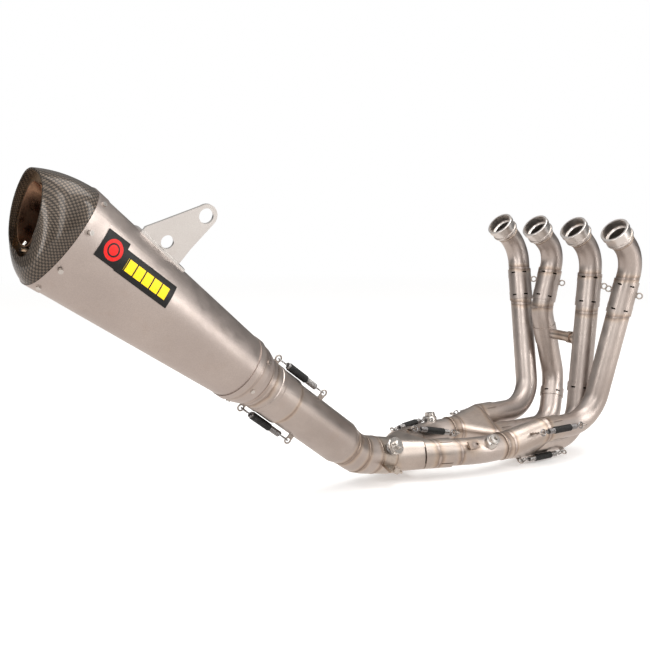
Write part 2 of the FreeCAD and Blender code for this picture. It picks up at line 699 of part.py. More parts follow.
BOSS_REACH = 35.0
ring_solid = cylinder("valve_ring", housing_frame, "valve_od / 2 + 2.4", "%g" % HOUSING)
near_boss = cylinder("valve_near_boss", shaft_frame, "shaft_diameter / 2 + 4", "%g" % BOSS_REACH)
far_boss = cylinder("valve_far_boss", placed(valve_centre, SHAFT_DIR * -1), "shaft_diameter / 2 + 4", "36")
housing_bore = cylinder("valve_bore", housing_frame, "valve_od / 2 - tube_wall", "%g" % HOUSING)
shaft_bore = cylinder("shaft_bore", on_shaft(-33.5), "shaft_diameter / 2 + running_gap", "80")
housing_solid = fuse("valve_housing_solid", [ring_solid, near_boss, far_boss])
cut("valve_housing", housing_solid, fuse("valve_voids", [housing_bore, shaft_bore]))

flap_frame = placed(valve_centre, VALVE_AXIS.cross(SHAFT_DIR), SHAFT_DIR)
FLAP_SEAT = dim("shaft_diameter") / 2
FLAP_THICK = 2.4
flap_at = flap_frame.multiply(FreeCAD.Placement(Vector(0, 0, FLAP_SEAT), FreeCAD.Rotation()))
flap_disc = cylinder("flap_disc", flap_at, "valve_od / 2 - tube_wall - flap_gap - 0.5", "%g" % FLAP_THICK)
screw_holes = []
screws = []
shaft_holes = []
for sign in (-1, 1):
    screw_at = flap_frame.multiply(FreeCAD.Placement(Vector(sign * 12.0, 0, 0), FreeCAD.Rotation()))
    screw_holes.append(cylinder("flap_hole_%d" % (sign + 1), screw_at, "1.6", "12"))
    shaft_holes.append(cylinder("shaft_hole_%d" % (sign + 1), screw_at, "1.6", "12"))
    head_at = screw_at.multiply(FreeCAD.Placement(Vector(0, 0, FLAP_SEAT + FLAP_THICK), FreeCAD.Rotation()))
    head = cylinder("flap_screw_head_%d" % (sign + 1), head_at, "2.9", "1.7")
    shank = cylinder("flap_screw_shank_%d" % (sign + 1), screw_at, "1.55", "%g" % (FLAP_SEAT + FLAP_THICK + 0.5))
    screws.append(fuse("flap_screw_%d" % (sign + 1), [head, shank]))
cut("valve_flap", flap_disc, fuse("flap_holes", screw_holes))
group("valve_screws", screws)
shaft_rod = cylinder("shaft_rod", on_shaft(-33.0), "shaft_diameter / 2", "81")
shaft_nut = lathe("shaft_nut", [("0", "0"), ("6.8", "0"), ("6.8", "3.4"), ("5.2", "4.6"), ("0", "4.6")],
                  on_shaft(44.2))
cut("valve_shaft", fuse("shaft_and_nut", [shaft_rod, shaft_nut]), fuse("shaft_holes", shaft_holes))
pulley_blank = lathe("pulley_blank", [
    ("shaft_diameter / 2", "0"), ("7.5", "0"), ("7.5", "1"), ("13", "1"), ("13", "2.2"), ("11", "3.4"),
    ("11", "4.8"), ("13", "6"), ("13", "7.2"), ("7", "7.2"), ("7", "8.4"), ("shaft_diameter / 2", "8.4")],
    on_shaft(35.4))
relief = cylinder("pulley_relief", on_shaft(35).multiply(
    FreeCAD.Placement(Vector(9.3, 0, 0), FreeCAD.Rotation())), "1.5", "12")
cut("valve_pulley", pulley_blank, relief)

return_spring = doc.addObject("Part::Feature", "valve_return_spring")
return_spring.Shape = coiled(9.4, 1.5, 3, 0.0, 0.6)
return_spring.Placement = on_shaft(29.3)

bracket_dir = around_link(-22)
bracket_frame = placed(valve_centre + bracket_dir * (VALVE_R - 3), bracket_dir, VALVE_AXIS)
bracket_plate = box("bracket_plate", bracket_frame, "26", "3", "24")
bracket_side = cylinder("bracket_pad", placed(valve_centre + bracket_dir * (VALVE_R + 19) + around_link(68) * -1.5,
                                              around_link(68), VALVE_AXIS), "5", "9")
bracket_holes = []
for shift in (-7.0, 7.0):
    hole_centre = valve_centre + bracket_dir * (VALVE_R + 12) + VALVE_AXIS * shift - around_link(68) * 6
    bracket_holes.append(cylinder("cable_hole_%d" % (shift + 7), placed(hole_centre, around_link(68)), "2.6", "26"))
housing_keep = cylinder("housing_keep_out", housing_frame, "valve_od / 2 + 2.4", "%g" % HOUSING)
cut("valve_bracket", fuse("bracket_solid", [bracket_plate, bracket_side]),
    fuse("bracket_cuts", bracket_holes + [housing_keep]))

# link pipe: bend, short reducer and straight run, butt-welded
BEND_START = BEND - VALVE_AXIS * ((BEND - FUNNEL_END).Length - HOUSING)
SEAM = 27.0
LINK_END = 216.0
bend_tube, bend_outside = tube("link_bend", [BEND_START, BEND, BEND + AXIS * SEAM], [60], "bend_od")
straight_frame = placed(BEND + AXIS * SEAM, AXIS)
straight_tube = lathe("link_straight", [
    ("bend_od / 2", "0"),
    ("link_od / 2", "16"),
    ("link_od / 2", "%g" % (LINK_END - SEAM)),
    ("link_od / 2 - tube_wall", "%g" % (LINK_END - SEAM)),
    ("link_od / 2 - tube_wall", "16.4"),
    ("bend_od / 2 - tube_wall", "0")], straight_frame)
group("link_pipe", [bend_tube, straight_tube])
straight_solid = cylinder("link_straight_solid", straight_frame, "link_od / 2", "%g" % (LINK_END - SEAM))

# ---------------------------------------------------------------- silencer, in its own frame
# Local Z runs back along the silencer axis from the link bend, local X points to the outer side and
# local Y is up. The section grows from a circle at the front into a tall lens at the back.
across = unit(AXIS.cross(Vector(0, 0, 1)))
above = unit(across.cross(AXIS))
outer_side = (across * math.cos(ROLL) + above * math.sin(ROLL)) * -1
SILENCER = placed(BEND, AXIS, outer_side)
FRONT = 262.0
BACK = 575.0
FRONT_R = 45.2
HALF_WIDE = 47.0
HALF_TALL = 68.0
LENS = [(1.0, 0.0), (0.76, 0.70), (0.57, 0.869), (0.30, 0.974), (0.0, 1.0)]
ROUND_ANGLES = [0.0, 53.0, 65.5, 78.0, 90.0]


def silencer_frame(t, x=0.0, y=0.0):
    return FreeCAD.Placement(Vector(x, y, t), FreeCAD.Rotation())


def quarter_points(grow, share):
    """Five points of a quarter of the section; share is 0 for the circle and 1 for the lens."""
    points = []
    for (wide, tall), degrees in zip(LENS, ROUND_ANGLES):
        angle = math.radians(degrees)
        round_x = (FRONT_R + grow) * math.cos(angle)
        round_y = (FRONT_R + grow) * math.sin(angle)
        lens_x = wide * (HALF_WIDE + grow)
        lens_y = tall * (HALF_TALL + grow)
        points.append((round_x + (lens_x - round_x) * share, round_y + (lens_y - round_y) * share))
    return points


def ring_of_arcs(quarter, t, slant=(0.0, 0.0), shift=0.0):
    """Closed section of eight arcs mirrored from one quarter, on a plane that leans sideways and with height."""
    def spot(x, y):
        return Vector(x + shift, y, t + slant[0] * x + slant[1] * y)
    side, shoulder, corner, crown, top = quarter
    edges = []
    for turn in (0, 1):
        flip = 1 if turn == 0 else -1
        low = spot(flip * shoulder[0], -flip * shoulder[1])
        high = spot(flip * shoulder[0], flip * shoulder[1])
        start_crown = spot(flip * crown[0], flip * crown[1])
        end_crown = spot(-flip * crown[0], flip * crown[1])
        next_low = spot(-flip * shoulder[0], flip * shoulder[1])
        edges.append(Part.Arc(low, spot(flip * side[0], 0), high).toShape())
        edges.append(Part.Arc(high, spot(flip * corner[0], flip * corner[1]), start_crown).toShape())
        edges.append(Part.Arc(start_crown, spot(0, flip * top[1]), end_crown).toShape())
        edges.append(Part.Arc(end_crown, spot(-flip * corner[0], flip * corner[1]), next_low).toShape())
    return Part.Wire(edges)


def shell_section(t, grow):
    return ring_of_arcs(quarter_points(grow, (t - FRONT) / (BACK - FRONT)), t)


def lens_section(t, half_wide, half_tall, slant=(0.0, 0.0), shift=0.0):
    return ring_of_arcs([(half_wide * wide, half_tall * tall) for wide, tall in LENS], t, slant, shift)


def round_section(t, radius):
    angles = [math.radians(degrees) for degrees in ROUND_ANGLES]
    return ring_of_arcs([(radius * math.cos(a), radius * math.sin(a)) for a in angles], t)


def finish(body):
    """Move a finished silencer piece from the local frame into its place on the motorcycle."""
    body.Placement = SILENCER
    return body


SHELL_WALL = dim("shell_wall")
CARBON = dim("carbon_wall")
SLIP_START = 170.0
SLEEVE_END = 234.0

slip_sleeve = lathe("silencer_slip_sleeve", [
    ("link_od / 2 + running_gap", "170"),
    ("link_od / 2 + 1.6", "170"),
    ("link_od / 2 + 2.4", "171"),
    ("link_od / 2 + 2.4", "203"),
    ("slip_od / 2 + 0.2", "205"),
    ("slip_od / 2 + 0.2", "211"),
    ("slip_od / 2 - 0.8", "212"),
    ("slip_od / 2 - 0.8", "214"),
    ("slip_od / 2 + 0.2", "215"),
    ("slip_od / 2 + 0.2", "225"),
    ("slip_od / 2", "225"),
    ("slip_od / 2", "234"),
    ("link_od / 2 + running_gap", "234")], SILENCER)

CONE_OUTSIDE = [
    ("slip_od / 2 + 1.2", "226.2"),
    ("slip_od / 2 + 1.2", "234"),
    ("slip_od / 2 + 4.6", "238.5"),
    ("slip_od / 2 + 7.4", "247"),
    ("44.9", "258"),
    ("44.9", "262"),
    ("44", "262"),
    ("44", "274")]
inlet_cone = lathe("silencer_inlet_cone", [("slip_od / 2", "226.2")] + CONE_OUTSIDE + [
    ("42.8", "274"),
    ("42.8", "259"),
    ("slip_od / 2 + 6.2", "248"),
    ("slip_od / 2 + 3.4", "239.6"),
    ("slip_od / 2", "235")], SILENCER)
cone_solid = lathe("inlet_cone_solid", [("0", "226.2")] + CONE_OUTSIDE + [("0", "274")], FreeCAD.Placement())

shell_outer = loft("shell_outer", [shell_section(FRONT, 0), shell_section(BACK, 0)])
shell_inner = loft("shell_inner", [shell_section(FRONT, -SHELL_WALL), shell_section(BACK, -SHELL_WALL)])
finish(cut("silencer_sleeve", shell_outer, shell_inner))

# perforated core, packing and outlet tube
CORE_R = 27.0
CORE_END = 505.0
core_blank = lathe("core_blank", [
    ("link_od / 2 + running_gap", "220"),
    ("link_od / 2 + running_gap", "232"),
    ("27", "252"),
    ("27", "505"),
    ("25.8", "505"),
    ("25.8", "252.4"),
    ("link_od / 2 - 1.2", "232.4"),
    ("link_od / 2 - 1.2", "220")], FreeCAD.Placement())
perforations = []
for row in range(9):
    for turn in range(4):
        spot = FreeCAD.Placement(Vector(0, 0, 290 + row * 22.0),
                                 FreeCAD.Rotation(Vector(0, 0, 1), 45.0 * turn + 22.5 * (row % 2)))
        drill = spot.multiply(FreeCAD.Placement(Vector(-30, 0, 0), FreeCAD.Rotation(Vector(0, 1, 0), 90)))
        perforations.append(cylinder("perforation_%d_%d" % (row, turn), drill, "4", "60"))
finish(cut("silencer_core", core_blank, fuse("perforations", perforations)))

MOUTH_T = 621.8
SLANT = (-0.3, 0.45)
MOUTH_SHIFT = -5.0
MOUTH_WIDE = 29.0
MOUTH_TALL = 44.5
TUBE_T = MOUTH_T - 6
TUBE_WIDE = 20.0
TUBE_TALL = 34.5
outlet_outer = loft("outlet_outer", [
    round_section(498, CORE_R + 0.05 + WALL), lens_section(TUBE_T, TUBE_WIDE, TUBE_TALL, SLANT, MOUTH_SHIFT)])
outlet_inner = loft("outlet_inner", [
    round_section(498, CORE_R + 0.05),
    lens_section(TUBE_T, TUBE_WIDE - WALL, TUBE_TALL - WALL, SLANT, MOUTH_SHIFT)])
core_keep = cylinder("core_keep_out", silencer_frame(490), "27", "15")
outlet_tube = finish(cut("silencer_outlet_tube", outlet_outer, fuse("outlet_voids", [outlet_inner, core_keep])))

packing_solid = loft("packing_solid", [shell_section(FRONT, -SHELL_WALL - 0.6), shell_section(BACK, -SHELL_WALL - 0.6)])
packing_window = cylinder("packing_window", silencer_frame(276), "90", "268")
packing_hole = cylinder("packing_hole", silencer_frame(240), "27.2", "320")
packing_trim = doc.addObject("Part::MultiCommon", "packing_trim")
packing_trim.Shapes = [packing_solid, packing_window]
finish(cut("silencer_packing", packing_trim, fuse("packing_voids", [packing_hole, outlet_outer])))

# carbon end cap, closing plate and the band that clamps the cap
MID_T = 603.0
MID_SLANT = (-0.1, 0.2)


def cap_skin(name, shrink):
    """Blown form of the end cap, drawn in by shrink all round."""
    return loft(name, [
        lens_section(BACK, HALF_WIDE - shrink, HALF_TALL - shrink),
        lens_section(MID_T, HALF_WIDE - 4 - shrink, HALF_TALL - 9 - shrink, MID_SLANT, -1.5),
        lens_section(MOUTH_T, MOUTH_WIDE - shrink, MOUTH_TALL - shrink, SLANT, MOUTH_SHIFT)], False)


cap_outer = cap_skin("cap_outer", 0)
cap_inner = cap_skin("cap_inner", CARBON)
finish(cut("silencer_end_cap", cap_outer, cap_inner))
PLATE_T = MOUTH_T - 15
PLATE_THICK = 2.0
plate_slab = loft("plate_slab", [
    lens_section(PLATE_T, HALF_WIDE, HALF_TALL, SLANT),
    lens_section(PLATE_T + PLATE_THICK, HALF_WIDE, HALF_TALL, SLANT)])
plate_trim = doc.addObject("Part::MultiCommon", "plate_trim")
plate_trim.Shapes = [plate_slab, cap_inner]
finish(cut("silencer_outlet_plate", plate_trim, outlet_outer))

BAND_START = 557.0
band_outer = loft("outlet_band_outer", [shell_section(BAND_START, 1.0), shell_section(BACK, 1.0)])
finish(cut("silencer_outlet_band", band_outer, shell_outer))
inlet_ring = cylinder("inlet_ring", silencer_frame(FRONT), "46.8", "9")
finish(cut("silencer_inlet_band", inlet_ring, fuse("inlet_ring_cuts", [shell_outer, cone_solid])))


# ---------------------------------------------------------------- rivets, badge plate and hanger
def surface_point(t, degrees, grow):
    """Point on the section at a polar angle, by walking between the points of its outline."""
    corners = quarter_points(grow, (t - FRONT) / (BACK - FRONT))
    angle = math.radians(degrees % 360)
    c, s = math.cos(angle), math.sin(angle)
    steep = math.atan2(abs(s), abs(c))
    for first, second in zip(corners, corners[1:]):
        a1 = math.atan2(first[1], first[0])
        a2 = math.atan2(second[1], second[0])
        if a1 <= steep <= a2 + 1e-9:
            share = (steep - a1) / (a2 - a1)
            reach = math.hypot(*first) + (math.hypot(*second) - math.hypot(*first)) * share
            return Vector(c * reach, s * reach, t)
    return Vector(c * corners[0][0], s * corners[0][0], t)


rivets = []
for number, degrees in enumerate([28, -32, 66, 114, 152, 212, 246, 294]):
    foot = surface_point(566.5, degrees, 0)
    outward = unit(Vector(foot.x / HALF_WIDE ** 2, foot.y / HALF_TALL ** 2, 0))
    rivets.append(cylinder("back_rivet_%d" % number, placed(foot - outward * 1.0, outward),
                           "rivet_head / 2", "4.2"))
back_rivets = cut("back_rivets", fuse("back_rivet_blanks", rivets), band_outer)
front_rivets = []
for number in range(6):
    angle = math.radians(43 + 60 * number)
    outward = Vector(math.cos(angle), math.sin(angle), -0.15)
    foot = Vector(math.cos(angle) * 41.5, math.sin(angle) * 41.5, 252.5)
    front_rivets.append(cylinder("front_rivet_%d" % number, placed(foot, outward), "rivet_head / 2", "4.0"))
front_cut = cut("front_rivets", fuse("front_rivet_blanks", front_rivets), cone_solid)
finish(group("silencer_rivets", [back_rivets, front_cut]))

badge_skin = loft("badge_skin", [shell_section(FRONT, 0.9), shell_section(BACK, 0.9)])
badge_wide = box("badge_wide", silencer_frame(433, 45, 21), "60", "29", "84")
badge_tall = box("badge_tall", silencer_frame(515, 45, 25), "60", "35", "33")
badge_trim = doc.addObject("Part::MultiCommon", "badge_trim")
badge_trim.Shapes = [fuse("badge_window", [badge_wide, badge_tall]), badge_skin]
finish(cut("silencer_badge", badge_trim, shell_outer))


def flat_plate(name, outline, x, thickness):
    """Plate in a plane across local X, from straight and round edges given as (t, y) points."""
    edges = []
    for piece in outline:
        spots = [Vector(x, y, t) for t, y in piece]
        if len(spots) == 2:
            edges.append(Part.makeLine(spots[0], spots[1]))
        else:
            edges.append(Part.Arc(*spots).toShape())
    face = doc.addObject("Part::Face", name + "_face")
    wire = doc.addObject("Part::Feature", name + "_outline")
    wire.Shape = Part.Wire(edges)
    face.Sources = [wire]
    plate = doc.addObject("Part::Extrusion", name)
    plate.Base = face
    plate.DirMode = "Custom"
    plate.Dir = Vector(1, 0, 0)
    bind(plate, "LengthFwd", thickness)
    return plate


TIP_T, TIP_Y = 442.0, 127.0
TIP_R = dim("hanger_end") / 2
PLATE_X = -dim("hanger_thick") / 2
lean_cos = math.cos(math.radians(20))
lean_sin = math.sin(math.radians(20))
left_touch = (TIP_T + TIP_R * lean_cos, TIP_Y + TIP_R * lean_sin)
tip_top = (TIP_T - TIP_R * lean_sin * 0.2, TIP_Y + TIP_R * 0.997)
right_touch = (TIP_T - TIP_R * lean_cos, TIP_Y - TIP_R * lean_sin)
hanger_blank = flat_plate("hanger_plate", [
    ((497, 50), (497, 70)),
    ((497, 70), (485, 88)),
    ((485, 88), left_touch),
    (left_touch, tip_top, (TIP_T - TIP_R, TIP_Y)),
    ((TIP_T - TIP_R, TIP_Y), (431, 82)),
    ((431, 82), (431, 50)),
    ((431, 50), (497, 50))], PLATE_X, "hanger_thick")
across_x = FreeCAD.Rotation(Vector(0, 1, 0), 90)
hanger_bore = cylinder("hanger_bore", FreeCAD.Placement(Vector(-10, TIP_Y, TIP_T), across_x), "hanger_hole / 2", "20")
hanger_window = cylinder("hanger_window", FreeCAD.Placement(Vector(-10, 72, 462), across_x), "8.5", "20")
foot_skin = loft("foot_skin", [shell_section(FRONT, 2.5), shell_section(BACK, 2.5)])
foot_window = box("foot_window", silencer_frame(425, 0, 60), "26", "60", "78")
foot_trim = doc.addObject("Part::MultiCommon", "foot_trim")
foot_trim.Shapes = [foot_window, foot_skin]
hanger_solid = fuse("hanger_solid", [hanger_blank, foot_trim])
finish(cut("silencer_hanger", hanger_solid, fuse("hanger_cuts", [hanger_bore, hanger_window, shell_outer])))

# screws of the outlet: one through the closing plate, one through the wall of the outlet tube
plate_out = Vector(-SLANT[0], -SLANT[1], 1)
plate_spot = Vector(-9, -39, PLATE_T + PLATE_THICK + SLANT[0] * -9 + SLANT[1] * -39)
plate_screw = cylinder("plate_screw", placed(plate_spot, plate_out), "2.4", "3")
tube_screw = cylinder("tube_screw", placed(Vector(MOUTH_SHIFT, -32.6, 598), Vector(0, 1, 0)), "2.8", "5")
tube_wall_solid = cut("outlet_wall", outlet_outer, outlet_inner)
finish(group("silencer_cap_screws", [plate_screw, cut("tube_screw_head", tube_screw, tube_wall_solid)]))

# ---------------------------------------------------------------- springs, hooks and rubber sleeves
SPRING_FROM_AXIS = 27.2
SPRING_START_X = -138.0
SPRING_OUT = {1: Vector(0, 1, 0.1), 2: Vector(0, -0.9, -0.43), 3: Vector(0, -0.8, -0.6), 4: Vector(0, -1, 0.2)}
FORWARD = Vector(1, 0, 0)
header_springs = {}
header_rubbers = []
root_hooks = []
header_hooks = {}
for number in range(1, 5):
    side = "left" if number < 3 else "right"
    run = RUNS[number][0][-1]
    out = unit(SPRING_OUT[number])
    start = Vector(SPRING_START_X, run.y, run.z) + out * SPRING_FROM_AXIS
    header_springs[number] = retaining_spring("header_spring_%d" % number, start, FORWARD, out)
    header_rubbers.append(rubber_sleeve("rubber_%d" % number, start, FORWARD))
    root_hooks.append(staple("collector_hook_%d" % number, start, FORWARD, out, 23.0, collector_solids[side]))
    far_hook = staple("header_hook_%d" % number, start + FORWARD * REACH, FORWARD * -1, out, 14.0,
                      header_outsides[number])
    header_hooks[number] = [far_hook]
    mid = coupling_centre[number] - coupling_axis[number] * 8
    keep = cylinder("coupling_keep_%d" % number, placed(mid - coupling_axis[number] * 20, coupling_axis[number]),
                    "coupling_od / 2", "40")
    sides = [1] if number != 4 else [1, -1]
    for sign in sides:
        lean_out = Vector(0.6, -0.8, 0) * sign
        square = unit(lean_out - coupling_axis[number] * lean_out.dot(coupling_axis[number]))
        ring_at = mid + square * (dim("coupling_od") / 2 + 5)
        header_hooks[number].append(staple("coupling_hook_%d_%d" % (number, sign + 1),
                                           ring_at + coupling_axis[number] * STAPLE_BACK,
                                           coupling_axis[number], square, 8.5, keep))

left_line = secondary_axis["left"]
left_end = secondary_end["left"]
SIDE_SPRING_OUT = 28.6
side_out = Vector(0, 0.82, 0.57)
side_out = unit(side_out - left_line * side_out.dot(left_line))
middle_line = unit(at(-309, 7.5, -310.5) - at(-208, 9, -334))
LINK_SPRINGS = [
    # start of the spring, its line, the direction away from the pipes, heights of its two hooks
    (at(-208, 9, -334), middle_line, Vector(0, -0.85, 0.5), 17.0, 12.0),
    (left_end - left_line * (65 + REACH / 2) + side_out * SIDE_SPRING_OUT, left_line, side_out, 17.0, 14.0),
]
link_springs = []
link_rubbers = []
for number, (start, line, out, front_height, back_height) in enumerate(LINK_SPRINGS):
    link_springs += retaining_spring("link_spring_%d" % number, start, line, out)
    link_rubbers.append(rubber_sleeve("link_rubber_%d" % number, start, line))
    root_hooks.append(staple("link_hook_a_%d" % number, start, line, out, front_height, secondary_bars["left"]))
    root_hooks.append(staple("link_hook_b_%d" % number, start + line * REACH, line * -1, out, back_height,
                             funnel_solid))

silencer_springs = []
silencer_rubbers = []
silencer_hooks = []
up = SILENCER.Rotation.multVec(Vector(0, 1, 0))
slip_keep = cylinder("slip_keep_out", placed(BEND + AXIS * 200, AXIS), "slip_od / 2 + 0.2", "30")
for number, sign in enumerate((1, -1)):
    out = up * sign
    start = BEND + AXIS * 128 + out * 42
    silencer_springs += retaining_spring("silencer_spring_%d" % number, start, AXIS, out)
    silencer_rubbers.append(rubber_sleeve("silencer_rubber_%d" % number, start + AXIS * 9, AXIS))
    root_hooks.append(staple("pipe_hook_%d" % number, start, AXIS, out, 13.0, straight_solid))
    silencer_hooks.append(staple("sleeve_hook_%d" % number, start + AXIS * REACH, AXIS * -1, out, 10.0, slip_keep))
group("silencer_hooks", silencer_hooks)
group("silencer_springs", silencer_springs)
group("silencer_spring_sleeves", silencer_rubbers)
group("link_springs", link_springs)
group("spring_sleeves", header_rubbers + link_rubbers)
group("spring_hooks", root_hooks)
group("header_spring_outer_left", header_springs[1])
group("header_springs_inner", header_springs[2] + header_springs[3])
group("header_spring_outer_right", header_springs[4])
group("header_hooks_outer_left", header_hooks[1])
group("header_hooks_inner", header_hooks[2] + header_hooks[3])
group("header_hooks_outer_right", header_hooks[4])

# ---------------------------------------------------------------- check and write every sub-part
NODES = ["head_socket_%d" % n for n in range(1, 5)]
NODES += ["header_tube_%d" % n for n in range(1, 5)]
NODES += ["header_coupling_1", "header_couplings_inner", "header_coupling_4"]
NODES += ["header_hooks_outer_left", "header_hooks_inner", "header_hooks_outer_right"]
NODES += ["balance_tube", "balance_sleeve", "balance_saddles"]
NODES += ["collector_left", "collector_right", "secondary_left", "secondary_right"]
NODES += ["lambda_bosses", "lambda_plugs", "secondary_tab", "spring_hooks", "spring_sleeves"]
NODES += ["header_spring_outer_left", "header_springs_inner", "header_spring_outer_right", "link_springs"]
NODES += ["link_collector", "valve_housing", "valve_shaft", "valve_flap", "valve_screws", "valve_pulley"]
NODES += ["valve_return_spring", "valve_bracket", "link_pipe"]
NODES += ["silencer_" + part for part in (
    "slip_sleeve", "inlet_cone", "sleeve", "core", "packing", "outlet_tube", "end_cap", "outlet_plate",
    "outlet_band", "inlet_band", "rivets", "badge", "hanger", "cap_screws", "hooks", "springs",
    "spring_sleeves")]

doc.recompute()
for item in doc.Objects:
    if "Invalid" in item.State or "Error" in item.State:
        raise RuntimeError("%s did not rebuild: %s" % (item.Name, item.State))
for name in NODES:
    shape = doc.getObject(name).Shape
    if shape.isNull() or not shape.isValid() or not shape.Solids:
        raise RuntimeError("%s has no sound solid" % name)
for name in NODES:
    node = doc.getObject(name)
    node.Label = name
    node.Shape.exportStep("parts/%s.step" % name)
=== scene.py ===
"""Looks of the racing exhaust system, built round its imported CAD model. Units are metres."""
import json
import math

import bpy
import numpy as np
from mathutils import Matrix, Vector


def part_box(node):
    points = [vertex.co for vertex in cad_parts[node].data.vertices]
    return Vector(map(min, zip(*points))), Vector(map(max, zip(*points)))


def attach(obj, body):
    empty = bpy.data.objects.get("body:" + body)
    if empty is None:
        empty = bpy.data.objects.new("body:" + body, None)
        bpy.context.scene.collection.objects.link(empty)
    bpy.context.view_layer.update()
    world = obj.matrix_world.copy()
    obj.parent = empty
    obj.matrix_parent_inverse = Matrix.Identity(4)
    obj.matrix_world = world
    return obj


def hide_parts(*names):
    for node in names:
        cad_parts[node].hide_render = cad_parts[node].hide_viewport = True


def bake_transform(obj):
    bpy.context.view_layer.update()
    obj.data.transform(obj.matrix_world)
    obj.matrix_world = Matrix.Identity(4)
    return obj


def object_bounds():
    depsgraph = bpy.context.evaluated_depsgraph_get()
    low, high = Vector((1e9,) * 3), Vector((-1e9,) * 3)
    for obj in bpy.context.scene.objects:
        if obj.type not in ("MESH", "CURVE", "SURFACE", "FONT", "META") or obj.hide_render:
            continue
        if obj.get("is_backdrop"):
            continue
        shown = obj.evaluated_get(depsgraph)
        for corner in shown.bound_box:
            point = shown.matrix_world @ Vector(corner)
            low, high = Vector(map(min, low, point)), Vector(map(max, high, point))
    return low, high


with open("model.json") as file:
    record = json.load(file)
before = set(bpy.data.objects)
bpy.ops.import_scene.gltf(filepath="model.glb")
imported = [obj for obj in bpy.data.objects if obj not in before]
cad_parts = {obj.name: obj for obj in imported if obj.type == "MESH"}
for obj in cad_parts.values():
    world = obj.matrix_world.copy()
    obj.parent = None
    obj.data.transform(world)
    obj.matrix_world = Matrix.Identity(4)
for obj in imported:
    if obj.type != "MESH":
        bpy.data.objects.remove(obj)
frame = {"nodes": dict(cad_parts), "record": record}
cad_low, cad_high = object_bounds()
NODES = frame["nodes"]
RECORD = frame["record"]
MM = 0.001

# ------------------------------------------------------------ places taken from the record
JOINTS = {joint["name"]: joint for joint in RECORD["behaviour"]["joints"]}
MOUNTS = {mount["name"]: mount for mount in RECORD["mounts"]}
BEND = Vector(JOINTS["silencer_turn"]["pos_m"])
AXIS = Vector(JOINTS["silencer_turn"]["axis"]).normalized()
SIDE = Vector(MOUNTS["hanger_hole"]["axis"]).normalized()
TALL = AXIS.cross(SIDE).normalized()
SHAFT = Vector(JOINTS["valve_turn"]["axis"]).normalized()
VALVE = Vector(JOINTS["valve_turn"]["pos_m"])
MOUTHS = [Vector(MOUNTS["port_socket_%d" % n]["pos_m"]) for n in range(1, 5)]
MOUTH_IN = Vector(MOUNTS["port_socket_1"]["axis"]).normalized() * -1
HEADER_BODY = {1: "header_outer_left", 2: "headers_inner", 3: "headers_inner", 4: "header_outer_right"}

# stations along the silencer's axis, in millimetres back from the bend
LINK_SEAM = 27.0
LINK_RIB = 170.0
SLIP_SEAM = 226.0
CONE_START = 228.0
CONE_END = 259.0

# sizes of the CAD model in millimetres
HOUSING = 33.0            # length of the valve housing
BEND_TUBE = 29.1          # outer radius of the tube round the bend
HOUSING_BACK_RADIUS = 28.6
HOUSING_FRONT_RADIUS = 26.3
SLIP_RADIUS = 36.5
SOCKET_NECK_RADIUS = 19.3
COLLECTOR_NECK_RADIUS = 21.5
SPRING_RADIUS = 4.75      # a little over the outer radius of a spring


def along_silencer(back):
    """Point on the silencer's axis, in millimetres back from the bend."""
    return BEND + AXIS * (back * MM)


